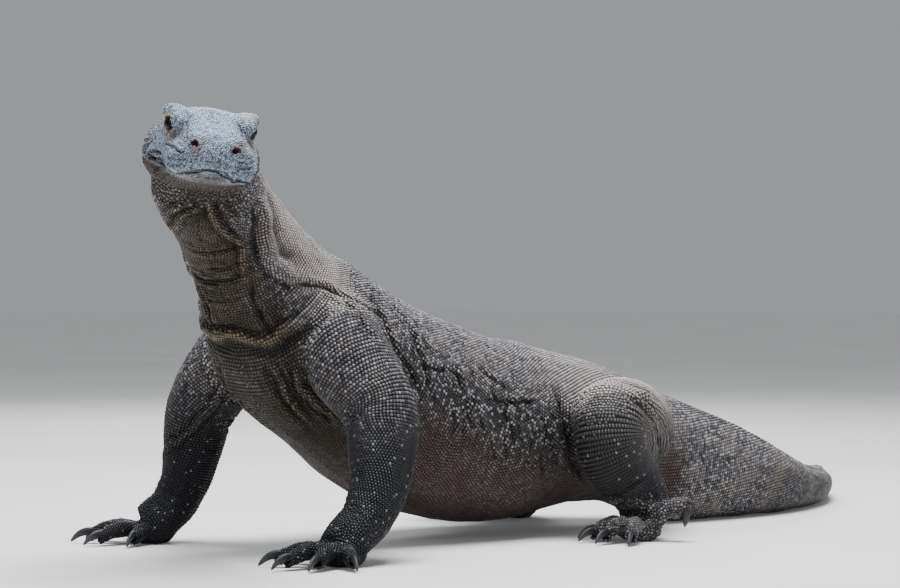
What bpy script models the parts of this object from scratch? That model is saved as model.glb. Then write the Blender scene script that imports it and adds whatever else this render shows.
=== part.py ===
"""A Komodo dragon about 2.2 m long, standing with its forequarters raised on straight forelegs and its
head turned to its left. Metres, +Z up. The dragon faces -Y, so its left side is at +X.

The flesh is one body: lofts along the spine, the head, the legs and the toes, joined by a voxel remesh and
smoothed. It is levelled where it rests on the floor, then parted into named pieces by thin cuts.
"""

import math

import bmesh
import bpy
import numpy as np
from mathutils import Matrix, Vector

# ---- driving dimensions -------------------------------------------------------------------------
GAP = 0.0003  # clearance left by every cut
VOXEL = 0.003  # grid on which the lofts are joined
TRIANGLES = 3900  # of the whole flesh, before it is parted
CRUMB = 1e-6  # volume under which a piece left by the cuts is dropped
SIDES = 28  # points round a loft of the body
LIMB_SIDES = 20
TOE_SIDES = 12

HEAD_LENGTH = 0.190  # snout to the back of the jaw
HEAD_YAW = math.radians(55.5)  # to the dragon's left, from straight ahead
HEAD_PITCH = math.radians(-10)  # nose down
HEAD_ROLL = math.radians(-6)
EYE_MIDDLE = Vector((0.157, -0.153, 0.474))  # between the two eyes
EYE_FORWARD = 0.102  # from the back of the jaw
EYE_SIDE = 0.0405
EYE_HEIGHT = 0.0290
EYE_RADIUS = 0.0088
CLAW_LENGTH = 0.024
CLAW_RADIUS = 0.0050

# The spine from inside the skull to the tip of the tail, each row one cross-section:
# x, y, z of its middle, then half its width, its height above and its depth below the middle.
SPINE = (
    (0.094, -0.108, 0.450, 0.046, 0.036, 0.044),
    (0.061, -0.080, 0.425, 0.060, 0.052, 0.058),
    (0.040, -0.031, 0.384, 0.056, 0.056, 0.062),
    (0.024, 0.026, 0.328, 0.065, 0.070, 0.077),
    (0.008, 0.085, 0.266, 0.086, 0.097, 0.104),
    (0.003, 0.175, 0.220, 0.100, 0.094, 0.117),
    (0.000, 0.270, 0.176, 0.112, 0.103, 0.131),
    (0.000, 0.370, 0.143, 0.120, 0.107, 0.126),
    (0.000, 0.460, 0.130, 0.115, 0.106, 0.111),
    (0.003, 0.560, 0.121, 0.098, 0.096, 0.090),
    (0.012, 0.650, 0.107, 0.078, 0.082, 0.080),
    (0.030, 0.730, 0.083, 0.060, 0.075, 0.084),
    (0.046, 0.820, 0.066, 0.047, 0.062, 0.067),
    (0.048, 0.910, 0.050, 0.038, 0.043, 0.051),
    (0.028, 1.000, 0.037, 0.032, 0.028, 0.038),
    (-0.012, 1.095, 0.028, 0.027, 0.022, 0.029),
    (-0.074, 1.186, 0.024, 0.024, 0.020, 0.025),
    (-0.150, 1.268, 0.022, 0.021, 0.019, 0.023),
    (-0.250, 1.335, 0.019, 0.018, 0.016, 0.020),
    (-0.360, 1.382, 0.016, 0.015, 0.014, 0.017),
    (-0.470, 1.408, 0.013, 0.012, 0.011, 0.014),
    (-0.575, 1.415, 0.010, 0.009, 0.008, 0.011),
    (-0.670, 1.405, 0.006, 0.005, 0.005, 0.007),
)

# The skull and jaw, from the back to the snout: distance forward, half width at the lips, height of the
# crown and depth of the chin from the line of the mouth, and how much narrower the crown is.
SKULL = (
    (-0.036, 0.036, 0.012, 0.036, 0.10),
    (-0.014, 0.050, 0.027, 0.046, 0.16),
    (0.010, 0.057, 0.037, 0.050, 0.24),
    (0.038, 0.060, 0.043, 0.048, 0.32),
    (0.066, 0.057, 0.046, 0.043, 0.28),
    (0.092, 0.053, 0.047, 0.037, 0.20),
    (0.114, 0.050, 0.043, 0.032, 0.22),
    (0.136, 0.048, 0.038, 0.028, 0.28),
    (0.156, 0.046, 0.034, 0.024, 0.28),
    (0.172, 0.041, 0.031, 0.020, 0.26),
    (0.183, 0.032, 0.025, 0.015, 0.20),
    (0.190, 0.015, 0.015, 0.008, 0.10),
)

# The line of the mouth: distance forward and height. It sags under the eye and rises at the snout.
MOUTH = ((-0.010, -0.004), (0.050, -0.010), (0.090, -0.0145), (0.114, -0.0170), (0.140, -0.0180),
         (0.160, -0.0168), (0.175, -0.0132), (0.184, -0.0100), (0.190, -0.0050))

# A leg from the root inside the body to the wrist or ankle: x, y, z, half width, half depth. x is
# the distance from the middle of the body, for both sides.
ARM_LEFT = (
    (0.038, 0.128, 0.262, 0.058, 0.054),
    (0.080, 0.097, 0.240, 0.055, 0.054),
    (0.122, 0.092, 0.205, 0.047, 0.051),
    (0.153, 0.098, 0.165, 0.041, 0.045),
    (0.168, 0.086, 0.120, 0.036, 0.040),
    (0.180, 0.069, 0.080, 0.031, 0.033),
    (0.183, 0.047, 0.050, 0.029, 0.028),
    (0.182, 0.024, 0.033, 0.030, 0.024),
    (0.180, 0.008, 0.021, 0.028, 0.016),
)
ARM_RIGHT = (
    (0.030, 0.135, 0.255, 0.060, 0.056),
    (0.078, 0.108, 0.230, 0.054, 0.054),
    (0.116, 0.092, 0.200, 0.045, 0.050),
    (0.144, 0.084, 0.160, 0.039, 0.043),
    (0.157, 0.083, 0.115, 0.034, 0.037),
    (0.165, 0.079, 0.076, 0.029, 0.031),
    (0.173, 0.066, 0.046, 0.027, 0.027),
    (0.181, 0.049, 0.030, 0.029, 0.022),
    (0.190, 0.038, 0.021, 0.026, 0.016),
)
LEG_LEFT = (
    (0.030, 0.625, 0.120, 0.064, 0.064),
    (0.084, 0.590, 0.127, 0.060, 0.062),
    (0.130, 0.530, 0.142, 0.052, 0.056),
    (0.166, 0.470, 0.148, 0.044, 0.047),
    (0.175, 0.462, 0.110, 0.041, 0.043),
    (0.184, 0.482, 0.076, 0.038, 0.039),
    (0.193, 0.500, 0.047, 0.032, 0.030),
    (0.197, 0.490, 0.027, 0.030, 0.023),
)
LEG_RIGHT = (
    (0.030, 0.630, 0.120, 0.064, 0.064),
    (0.080, 0.605, 0.126, 0.060, 0.062),
    (0.124, 0.565, 0.140, 0.052, 0.056),
    (0.158, 0.525, 0.142, 0.044, 0.047),
    (0.160, 0.548, 0.108, 0.042, 0.044),
    (0.150, 0.600, 0.074, 0.036, 0.038),
    (0.138, 0.640, 0.046, 0.030, 0.029),
    (0.135, 0.635, 0.027, 0.029, 0.023),
)

# Toes of a foot, innermost first: heading from the foot's own, length, rise of the knuckle and of the tip.
HAND_TOES = ((-70, 0.044, 0.007, 0), (-30, 0.062, 0.010, 0), (0, 0.068, 0.011, 0), (28, 0.062, 0.010, 0),
             (64, 0.046, 0.007, 0))
FOOT_TOES = ((-50, 0.042, 0.010, 0), (-22, 0.054, 0.013, 0), (4, 0.064, 0.014, 0), (30, 0.066, 0.014, 0),
             (108, 0.046, 0.020, 0))
RAISED_TOES = FOOT_TOES[:4] + ((122, 0.037, 0.036, 0.032),)
TOE_RADIUS = 0.0094


def smooth_rows(rows, steps):
    """The rows with steps - 1 more between each two, along Catmull-Rom curves."""
    known = np.array(rows, float)
    known = np.vstack([2 * known[0] - known[1], known, 2 * known[-1] - known[-2]])
    made = []
    for a, b, c, d in zip(known, known[1:], known[2:], known[3:]):
        for t in np.arange(steps) / steps:
            made.append(0.5 * (2 * b + (c - a) * t + (2 * a - 5 * b + 4 * c - d) * t**2
                               + (3 * b - a - 3 * c + d) * t**3))
    made.append(known[-2])
    return np.array(made)


def section(width, top, bottom, sides, power=1.0, taper=0.0):
    """Points round one cross-section, across and up. A power under 1 makes it squarer."""
    points = []
    for k in range(sides):
        angle = 2 * math.pi * k / sides
        across = math.copysign(abs(math.cos(angle)) ** power, math.cos(angle))
        up = math.copysign(abs(math.sin(angle)) ** power, math.sin(angle))
        across *= width * (1 - taper * max(0.0, up) ** 1.5)
        points.append((across, up * (top if up > 0 else bottom)))
    return points


def loft(name, middles, sections, upward):
    """A closed tube through sections that stand square to the line of their middles."""
    bm = bmesh.new()
    middles = [Vector(m) for m in middles]
    rings = []
    for i, middle in enumerate(middles):
        ahead = middles[min(i + 1, len(middles) - 1)] - middles[max(i - 1, 0)]
        side = ahead.cross(upward).normalized()
        up = side.cross(ahead).normalized()
        made = bmesh.ops.create_circle(bm, segments=len(sections[i]), radius=1.0)["verts"]
        for vert, (across, height) in zip(made, sections[i]):
            vert.co = middle + side * across + up * height
        ring = list({edge for vert in made for edge in vert.link_edges})
        rings.append(ring)
    for a, b in zip(rings, rings[1:]):
        bmesh.ops.bridge_loops(bm, edges=a + b)
    for end in (rings[0], rings[-1]):
        bmesh.ops.contextual_create(bm, geom=end)
    bmesh.ops.recalc_face_normals(bm, faces=bm.faces)
    return add_object(name, bm)


def add_object(name, bm):
    mesh = bpy.data.meshes.new(name)
    bm.to_mesh(mesh)
    bm.free()
    obj = bpy.data.objects.new(name, mesh)
    bpy.context.scene.collection.objects.link(obj)
    return obj


def ball(name, middle, radii, turn=Matrix.Identity(3), segments=24):
    bm = bmesh.new()
    place = Matrix.Translation(middle) @ turn.to_4x4() @ Matrix.Diagonal((*radii, 1))
    bmesh.ops.create_uvsphere(bm, u_segments=segments, v_segments=segments // 2, radius=1, matrix=place)
    return add_object(name, bm)


def with_modifiers(obj):
    """The object with its modifiers applied."""
    graph = bpy.context.evaluated_depsgraph_get()
    mesh = bpy.data.meshes.new_from_object(obj.evaluated_get(graph))
    obj.modifiers.clear()
    obj.data = mesh
    return obj


def joined(name, objects):
    """One object holding the meshes of all these, each still a shell of its own."""
    bm = bmesh.new()
    for obj in objects:
        start = len(bm.verts)
        bm.from_mesh(obj.data)
        bm.verts.ensure_lookup_table()
        bmesh.ops.transform(bm, matrix=obj.matrix_world, verts=bm.verts[start:])
        bpy.data.objects.remove(obj)
    return add_object(name, bm)


def boolean(obj, cutter):
    """Cuts the cutter from the object, for good."""
    change = obj.modifiers.new("cut", "BOOLEAN")
    change.operation = "DIFFERENCE"
    change.solver = "EXACT"
    change.object = cutter
    with_modifiers(obj)
    bpy.data.objects.remove(cutter)
    return obj


# ---- the head's own axes: forward, left, up, from the back of the jaw on the line of the mouth -----
def head_place():
    turn = (Matrix.Rotation(HEAD_YAW - math.pi / 2, 3, "Z") @ Matrix.Rotation(-HEAD_PITCH, 3, "Y")
            @ Matrix.Rotation(HEAD_ROLL, 3, "X"))
    corner = EYE_MIDDLE - turn @ Vector((EYE_FORWARD, 0, EYE_HEIGHT))
    return Matrix.Translation(corner) @ turn.to_4x4()


HEAD = head_place()


def in_head(forward, left, up):
    return HEAD @ Vector((forward, left, up))


def mouth_height(forward):
    """Height of the mouth line, along straight runs between the known places."""
    for (f0, u0), (f1, u1) in zip(MOUTH, MOUTH[1:]):
        if forward <= f1:
            return u0 + (u1 - u0) * (forward - f0) / (f1 - f0)
    return MOUTH[-1][1]


def head_flesh():
    rows = smooth_rows(SKULL, 3)
    sections = [section(w, t, b, SIDES, 0.80, taper) for _, w, t, b, taper in rows]
    middles = [in_head(f, 0, 0.0) for f, *_ in rows]
    upward = HEAD.to_3x3() @ Vector((0, 0, 1))
    turn = HEAD.to_3x3()
    made = [loft("skull", middles, sections, upward)]
    for side in (-1, 1):
        brow = turn @ Matrix.Rotation(-side * 0.10, 3, "Z") @ Matrix.Rotation(0.10, 3, "Y")
        made.append(ball("brow", in_head(0.100, side * 0.0375, 0.0370), (0.036, 0.0110, 0.0090), brow))
        made.append(ball("eyelid", in_head(EYE_FORWARD, side * 0.0385, 0.030), (0.0175, 0.0100, 0.0150), turn))
        made.append(ball("cheek", in_head(0.044, side * 0.037, -0.012), (0.038, 0.0245, 0.030), turn))
        made.append(ball("nostril", in_head(0.172, side * 0.0215, 0.0205), (0.0110, 0.0090, 0.0100), turn))
        made.append(ball("lip", in_head(0.120, side * 0.0430, 0.0040), (0.050, 0.0080, 0.0085),
                         turn @ Matrix.Rotation(-side * 0.13, 3, "Z")))
    return made


def body_flesh():
    rows = smooth_rows(SPINE, 4)
    middles = [row[:3] for row in rows]
    sections = [section(w, t, b, SIDES, 0.90) for _, _, _, w, t, b in rows]
    return [loft("body", middles, sections, Vector((0, 0.25, 1)))]


def limb_flesh(rows, side, upward):
    rows = smooth_rows(rows, 3)
    middles = [(side * x, y, z) for x, y, z, _, _ in rows]
    sections = [section(w, d, d, LIMB_SIDES) for *_, w, d in rows]
    return loft("limb", middles, sections, upward)


class Foot:
    """A hand or hind foot: a flat palm and five toes that fan out from it, each with a claw."""

    def __init__(self, name, wrist, heading, side, toes, palm_length):
        self.name, self.side, self.toes = name, side, toes
        self.wrist = Vector((side * wrist[0], wrist[1], 0))
        self.heading = heading
        self.palm_length = palm_length

    def direction(self, degrees):
        """Level direction: 0 is straight ahead of the dragon, and more turns outwards."""
        angle = math.radians(self.heading + degrees)
        return Vector((self.side * math.sin(angle), -math.cos(angle), 0))

    def toe_line(self, number):
        """Middles and radii of a toe, from inside the palm over the knuckle to its tip."""
        degrees, length, rise, lift = self.toes[number]
        way = self.direction(degrees)
        root = self.wrist + self.direction(degrees * 0.45) * self.palm_length * 0.72
        line = []
        for share, height, radius in ((-0.25, 0.014, 0.95), (0.10, 0.0125 + rise * 0.35, 1.0),
                                      (0.42, 0.0095 + rise, 1.04), (0.70, 0.0085 + rise * 0.75, 0.98),
                                      (0.90, 0.0085 + rise * 0.15 + lift * 0.9, 0.92),
                                      (1.00, 0.0078 + lift, 0.62)):
            line.append((*(root + way * length * share + Vector((0, 0, height))), TOE_RADIUS * radius))
        return line

    def claw_line(self, number, grow=0.0):
        """A claw that leaves the toe level and curves down to a point just above the floor. The claw
        of a raised toe points down at once."""
        degrees, _, _, lift = self.toes[number]
        way = self.direction(degrees)
        *tip, _ = self.toe_line(number)[-1]
        start = Vector(tip) + Vector((0, 0, 0.0035)) - way * 0.007
        spots, radii = [], []
        for share, drop, radius in ((0.0, 0.0, 1.0), (0.25, 0.0, 1.06), (0.5, 0.0018, 0.90),
                                    (0.75, 0.0052, 0.60), (1.0, 0.0095, 0.14)):
            ahead = CLAW_LENGTH * share * (1 - lift * 20)
            spots.append(start + way * ahead - Vector((0, 0, drop + lift * 0.8 * share)))
            radii.append(CLAW_RADIUS * radius + grow)
        spots[0] -= (spots[1] - spots[0]).normalized() * grow
        return [(*spot, radius) for spot, radius in zip(spots, radii)]

    def flesh(self):
        palm_way = self.direction(0)
        turn = Matrix.Rotation(math.atan2(palm_way.y, palm_way.x), 3, "Z")
        middle = self.wrist + palm_way * self.palm_length * 0.42 + Vector((0, 0, 0.0125))
        made = [ball("palm", middle, (self.palm_length * 0.62, 0.030, 0.0150), turn)]
        for number in range(len(self.toes)):
            made.append(tube("toe", self.toe_line(number), TOE_SIDES, 3))
        return made

    def claws(self):
        return [tube(f"claw_{self.name}_{n + 1}", self.claw_line(n), 6, 1) for n in range(len(self.toes))]

    def claw_sockets(self):
        return [tube("socket", self.claw_line(n, 2 * GAP), 6, 1) for n in range(len(self.toes))]


def tube(name, line, sides, steps):
    """A round tube along x, y, z, radius rows."""
    rows = smooth_rows(line, steps)
    sections = [section(r * 0.95, r, r, sides) for *_, r in rows]
    return loft(name, [row[:3] for row in rows], sections, Vector((0, 0, 1)))


FEET = (
    Foot("hand_left", (0.181, 0.033), -4, 1, HAND_TOES, 0.042),
    Foot("hand_right", (0.177, 0.061), 40, -1, HAND_TOES, 0.042),
    Foot("foot_left", (0.198, 0.501), 4, 1, RAISED_TOES, 0.040),
    Foot("foot_right", (0.134, 0.645), 24, -1, FOOT_TOES, 0.040),
)


def whole_flesh():
    """Every loft joined into one smooth skin."""
    made = head_flesh() + body_flesh()
    forward = Vector((0, -1, 0))
    for rows, side in ((ARM_LEFT, 1), (ARM_RIGHT, -1), (LEG_LEFT, 1), (LEG_RIGHT, -1)):
        made.append(limb_flesh(rows, side, forward))
    for foot in FEET:
        made += foot.flesh()
    whole = joined("flesh", made)
    grid = whole.modifiers.new("join", "REMESH")
    grid.mode, grid.voxel_size = "VOXEL", VOXEL
    with_modifiers(whole)
    add_weights(whole)
    for group, times in (("coarse", 16), ("", 3)):
        soften = whole.modifiers.new("soften", "SMOOTH")
        soften.factor, soften.iterations, soften.vertex_group = 0.5, times, group
    with_modifiers(whole)
    thin = whole.modifiers.new("thin", "DECIMATE")
    thin.ratio = TRIANGLES / (2 * len(whole.data.polygons))
    return with_modifiers(whole)


def add_weights(obj):
    """A vertex group that is 1 on the plain body and 0 on the head and toes, which stay less softened."""
    points = np.array([v.co for v in obj.data.vertices])
    centres = [(in_head(0.10, 0, 0.0), 0.115, 0.06)]
    centres += [(foot.wrist + foot.direction(0) * 0.05, 0.095, 0.03) for foot in FEET]
    coarse = np.ones(len(points))
    for centre, radius, fade in centres:
        away = np.linalg.norm(points - np.array(centre), axis=1)
        coarse = np.minimum(coarse, np.clip((away - radius) / fade, 0, 1))
    group = obj.vertex_groups.new(name="coarse")
    levels = 10
    for level in range(levels + 1):
        chosen = np.nonzero(np.round(coarse * levels) == level)[0].tolist()
        group.add(chosen, level / levels, "REPLACE")


# ---- cuts ------------------------------------------------------------------------------------------
# Each cut is a thin disc: its middle, the direction it faces, and its radius.
BODY_CUTS = (
    ((0.082, -0.078, 0.430), (-0.34, 0.60, -0.72), 0.100),  # head from neck
    ((0.030, 0.030, 0.320), (-0.22, 0.70, -0.68), 0.135),  # neck from chest
    ((0.000, 0.215, 0.203), (0.0, 0.91, -0.41), 0.165),  # chest from belly
    ((0.000, 0.390, 0.140), (0.0, 0.99, -0.14), 0.150),  # belly from pelvis
    ((0.026, 0.715, 0.090), (0.20, 0.96, -0.18), 0.110),  # pelvis from tail
    ((0.048, 0.905, 0.050), (-0.03, 1.0, 0.0), 0.080),  # along the tail
    ((-0.074, 1.186, 0.024), (-0.74, 0.67, 0.0), 0.055),
    ((-0.360, 1.382, 0.016), (-0.97, 0.25, 0.0), 0.040),
    ((0.104, 0.100, 0.218), (0.95, -0.14, -0.25), 0.100),  # shoulders
    ((-0.100, 0.102, 0.210), (-0.95, -0.14, -0.25), 0.086),
    ((0.112, 0.520, 0.140), (0.99, 0.154, 0.0), 0.150),  # hips
    ((-0.104, 0.570, 0.150), (-0.99, 0.154, 0.0), 0.115),
)
LIMB_CUTS = {
    "forearm_left": (((0.153, 0.098, 0.165), (0.42, -0.15, -0.90), 0.09),
                     ((0.183, 0.047, 0.050), (0.05, -0.60, -0.80), 0.07)),
    "forearm_right": (((-0.144, 0.084, 0.160), (-0.45, -0.08, -0.90), 0.09),
                      ((-0.173, 0.066, 0.046), (-0.20, -0.45, -0.87), 0.07)),
    "shin_left": (((0.166, 0.470, 0.146), (0.65, -0.44, -0.61), 0.12),
                  ((0.193, 0.500, 0.047), (0.05, -0.10, -1.0), 0.07)),
    "shin_right": (((-0.137, 0.560, 0.126), (-0.78, 0.03, -0.62), 0.13),
                   ((-0.139, 0.636, 0.047), (0.0, -0.12, -1.0), 0.11)),
}

# A point well inside each piece, by which it is known.
SEEDS = {
    "head": in_head(0.060, 0, 0.025),
    "lower_jaw": in_head(0.130, 0, -0.016),
    "neck": (0.052, -0.018, 0.380),
    "chest": (0.010, 0.130, 0.250),
    "belly": (0.000, 0.300, 0.165),
    "pelvis": (0.005, 0.560, 0.120),
    "tail_root": (0.055, 0.800, 0.070),
    "tail_middle": (0.000, 1.060, 0.036),
    "tail_end": (-0.230, 1.268, 0.022),
    "tail_tip": (-0.520, 1.245, 0.013),
    "upper_arm_left": (0.128, 0.094, 0.200),
    "forearm_left": (0.171, 0.080, 0.105),
    "hand_left": (0.180, 0.008, 0.014),
    "upper_arm_right": (-0.124, 0.090, 0.190),
    "forearm_right": (-0.158, 0.083, 0.105),
    "hand_right": (-0.189, 0.045, 0.014),
    "thigh_left": (0.138, 0.520, 0.150),
    "shin_left": (0.178, 0.468, 0.100),
    "foot_left": (0.200, 0.482, 0.014),
    "thigh_right": (-0.135, 0.550, 0.146),
    "shin_right": (-0.152, 0.585, 0.090),
    "foot_right": (-0.140, 0.622, 0.014),
}


def disc(middle, facing, radius):
    bm = bmesh.new()
    turn = Vector(facing).to_track_quat("Z", "Y").to_matrix().to_4x4()
    bmesh.ops.create_cone(bm, cap_ends=True, segments=32, radius1=radius, radius2=radius, depth=GAP,
                          matrix=Matrix.Translation(middle) @ turn)
    return add_object("disc", bm)


def jaw_ribbon():
    """A thin sheet along the mouth line that turns down behind the corner of the mouth."""
    profile = [(0.215 - 0.0125 * k, 0.0) for k in range(13)]
    profile = [(f, mouth_height(min(f, HEAD_LENGTH))) for f, _ in profile]
    profile += [(0.058, -0.020), (0.052, -0.034), (0.048, -0.075)]
    bm = bmesh.new()
    half_width = 0.085
    row = [bm.verts.new(in_head(f, -half_width, up)) for f, up in profile]
    edges = [bm.edges.new(pair) for pair in zip(row, row[1:])]
    sheet = bmesh.ops.extrude_edge_only(bm, edges=edges)["geom"]
    across = HEAD.to_3x3() @ Vector((0, 2 * half_width, 0))
    bmesh.ops.translate(bm, vec=across, verts=[g for g in sheet if isinstance(g, bmesh.types.BMVert)])
    bmesh.ops.solidify(bm, geom=bm.faces[:], thickness=GAP)
    bmesh.ops.recalc_face_normals(bm, faces=bm.faces)
    return add_object("jaw_ribbon", bm)


def floor_block():
    bm = bmesh.new()
    place = Matrix.Translation((0, 0.5, -0.05)) @ Matrix.Diagonal((3, 4, 0.1, 1))
    bmesh.ops.create_cube(bm, size=1, matrix=place)
    return add_object("floor", bm)


def islands(obj):
    """The separate pieces of the object's mesh, each as a new bmesh."""
    bm = bmesh.new()
    bm.from_mesh(obj.data)
    bm.faces.ensure_lookup_table()
    label = {}
    for first in bm.faces:
        if first.index in label:
            continue
        label[first.index] = first.index
        front = [first]
        while front:
            face = front.pop()
            for edge in face.edges:
                for other in edge.link_faces:
                    if other.index not in label:
                        label[other.index] = first.index
                        front.append(other)
    pieces = []
    for key in sorted(set(label.values())):
        piece = bm.copy()
        piece.faces.ensure_lookup_table()
        away = [f for f in piece.faces if label[f.index] != key]
        bmesh.ops.delete(piece, geom=away, context="FACES")
        loose = [v for v in piece.verts if not v.link_faces]
        bmesh.ops.delete(piece, geom=loose, context="VERTS")
        pieces.append(piece)
    bm.free()
    bpy.data.objects.remove(obj)
    return pieces


def split(obj, cuts, found):
    """Cuts the object with thin discs and adds its pieces to those found, each by its name."""
    boolean(obj, joined("discs", [disc(*cut) for cut in cuts]))
    for piece in islands(obj):
        if piece.calc_volume() < CRUMB:
            piece.free()
            continue
        middle = sum((v.co for v in piece.verts), Vector()) / len(piece.verts)
        name = min(SEEDS, key=lambda n: (Vector(SEEDS[n]) - middle).length)
        found[name] = add_object(name, piece)


def part_flesh(whole):
    """Levels the feet and tail on the floor and cuts the flesh into its named pieces."""
    boolean(whole, floor_block())
    boolean(whole, joined("claw_sockets", [claw for foot in FEET for claw in foot.claw_sockets()]))
    eyes = [ball("socket", eye_middle(side), [EYE_RADIUS + GAP] * 3, HEAD.to_3x3(), 12) for side in (-1, 1)]
    ears = [ball("ear", in_head(0.012, side * 0.0625, 0.006), (0.0050, 0.0065, 0.0095), HEAD.to_3x3(), 12)
            for side in (-1, 1)]
    boolean(whole, joined("sockets", eyes + ears))
    boolean(whole, jaw_ribbon())
    found = {}
    split(whole, BODY_CUTS, found)
    for name, cuts in LIMB_CUTS.items():
        limb = found.pop(min((n for n in found if n[-6:] == name[-6:] or n[-5:] == name[-5:]),
                             key=lambda n: (Vector(SEEDS[n]) - Vector(SEEDS[name])).length))
        split(limb, cuts, found)
    return found


def eye_middle(side):
    return in_head(EYE_FORWARD, side * EYE_SIDE, EYE_HEIGHT)


def finish(obj, colour, roughness):
    material = bpy.data.materials.new(obj.name)
    material.use_nodes = True
    shader = material.node_tree.nodes["Principled BSDF"]
    shader.inputs["Base Color"].default_value = (*colour, 1)
    shader.inputs["Roughness"].default_value = roughness
    obj.data.materials.clear()
    obj.data.materials.append(material)
    obj.data.shade_smooth()
    obj.data.set_sharp_from_angle(angle=math.radians(40))


def centre_on_floor(objects):
    """Moves the dragon so that the origin is under the middle of its bounding box."""
    corners = np.array([v.co for obj in objects for v in obj.data.vertices])
    low, high = corners.min(axis=0), corners.max(axis=0)
    shift = Matrix.Translation((-(low[0] + high[0]) / 2, -(low[1] + high[1]) / 2, -low[2]))
    for obj in objects:
        obj.data.transform(shift)


SKIN_COLOURS = {"head": (0.36, 0.40, 0.43), "lower_jaw": (0.24, 0.24, 0.20), "neck": (0.22, 0.20, 0.17)}
BODY_COLOUR = (0.19, 0.17, 0.16)
CLAW_COLOUR = (0.30, 0.29, 0.27)
EYE_COLOUR = (0.05, 0.03, 0.02)


def main():
    for obj in list(bpy.data.objects):
        bpy.data.objects.remove(obj)
    pieces = part_flesh(whole_flesh())
    for name, obj in pieces.items():
        finish(obj, SKIN_COLOURS.get(name, BODY_COLOUR), 0.75)
    made = list(pieces.values())
    for side, name in ((1, "eye_left"), (-1, "eye_right")):
        eye = ball(name, eye_middle(side), [EYE_RADIUS] * 3, HEAD.to_3x3(), 12)
        finish(eye, EYE_COLOUR, 0.08)
        made.append(eye)
    for foot in FEET:
        for claw in foot.claws():
            finish(claw, CLAW_COLOUR, 0.45)
            made.append(claw)
    centre_on_floor(made)


main()
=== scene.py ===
# %% [markdown]
# # A Komodo dragon at life size
#
# A big lizard is three things to a modeller: the form of its flesh, a loose skin that folds and creases
# over that form, and a coat of some tens of thousands of scales that lie on the skin in rows. This lesson
# makes them in that order, then adds eyes and claws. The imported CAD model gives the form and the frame, so
# every piece here is placed from it.

# %% Load the frame
import math

import bmesh
import bpy
import numpy as np
from mathutils import Matrix, Vector
from mathutils.bvhtree import BVHTree
from mathutils.kdtree import KDTree


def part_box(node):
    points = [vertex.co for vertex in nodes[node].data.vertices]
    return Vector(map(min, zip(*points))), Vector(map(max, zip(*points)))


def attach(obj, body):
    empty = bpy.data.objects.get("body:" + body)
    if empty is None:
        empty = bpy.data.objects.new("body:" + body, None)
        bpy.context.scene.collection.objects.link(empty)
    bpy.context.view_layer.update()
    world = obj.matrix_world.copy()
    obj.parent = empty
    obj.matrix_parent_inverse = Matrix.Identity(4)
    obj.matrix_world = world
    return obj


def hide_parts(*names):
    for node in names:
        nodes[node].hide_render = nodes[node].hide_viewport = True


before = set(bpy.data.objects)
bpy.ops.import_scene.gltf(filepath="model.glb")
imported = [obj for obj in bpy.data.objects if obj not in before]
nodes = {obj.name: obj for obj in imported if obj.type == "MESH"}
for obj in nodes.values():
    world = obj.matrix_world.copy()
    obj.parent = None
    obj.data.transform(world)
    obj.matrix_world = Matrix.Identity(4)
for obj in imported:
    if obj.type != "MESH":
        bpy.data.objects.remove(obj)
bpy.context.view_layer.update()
flesh_nodes = sorted(name for name in nodes if not name.startswith(("eye_", "claw_")))


# %% [markdown]
# ## Where things are
#
# The eyes are small round nodes whose places are known exactly, so they anchor everything. The head has a
# frame of its own, with axes forward, left and up, because a mouth or a brow is far easier to describe
# along the head than along the world. The lines down the middle of the spine and of each leg are the ones
# that the CAD flesh was lofted along. They are used to lay folds and rows of scales.

# %% The head's own frame
def middle_of(name):
    """The middle of a CAD node's box."""
    low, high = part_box(name)
    return (low + high) / 2


EYES = {side: middle_of("eye_" + side) for side in ("left", "right")}
EYE_RADIUS = (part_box("eye_left")[1].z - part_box("eye_left")[0].z) / 2
EYE_MIDDLE = (EYES["left"] + EYES["right"]) / 2
DRAWN_MIDDLE = Vector((0.157, -0.153, 0.474))  # the same point where the lines below were drawn
SHIFT = EYE_MIDDLE - DRAWN_MIDDLE

EYE_FORWARD, EYE_HEIGHT = 0.102, 0.029  # from the back of the jaw, and above the line of the mouth
head_turn = (Matrix.Rotation(math.radians(55.5 - 90), 3, "Z") @ Matrix.Rotation(math.radians(10), 3, "Y")
             @ Matrix.Rotation(math.radians(-6), 3, "X"))
head_origin = EYE_MIDDLE - head_turn @ Vector((EYE_FORWARD, 0, EYE_HEIGHT))


def in_head(forward, left, up):
    """The place in the world of a point given in the head's frame."""
    return head_origin + head_turn @ Vector((forward, left, up))


def head_places(points):
    """Forward, left and up in the head's frame, for rows of points."""
    return (points - np.array(head_origin)) @ np.array(head_turn)


MOUTH = np.array(((-.01, -.004), (.05, -.010), (.09, -.0145), (.114, -.0170), (.14, -.0180), (.16, -.0168),
                  (.175, -.0132), (.184, -.0100), (.190, -.0050)))  # forward, and how high the mouth is there
LEFT_SAG = 0.0034


def mouth_height(places):
    """How high the mouth lies at places on the head: it sags under the eye, and a little more on the left."""
    forward, left, _ = places.T
    sag = LEFT_SAG * bump(left - 0.028, 0.018) * ramp(forward, 0.13, 0.16)
    return np.interp(forward, MOUTH[:, 0], MOUTH[:, 1]) - sag


print("eye radius", round(EYE_RADIUS, 5), "head origin", tuple(round(v, 4) for v in head_origin))

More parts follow.
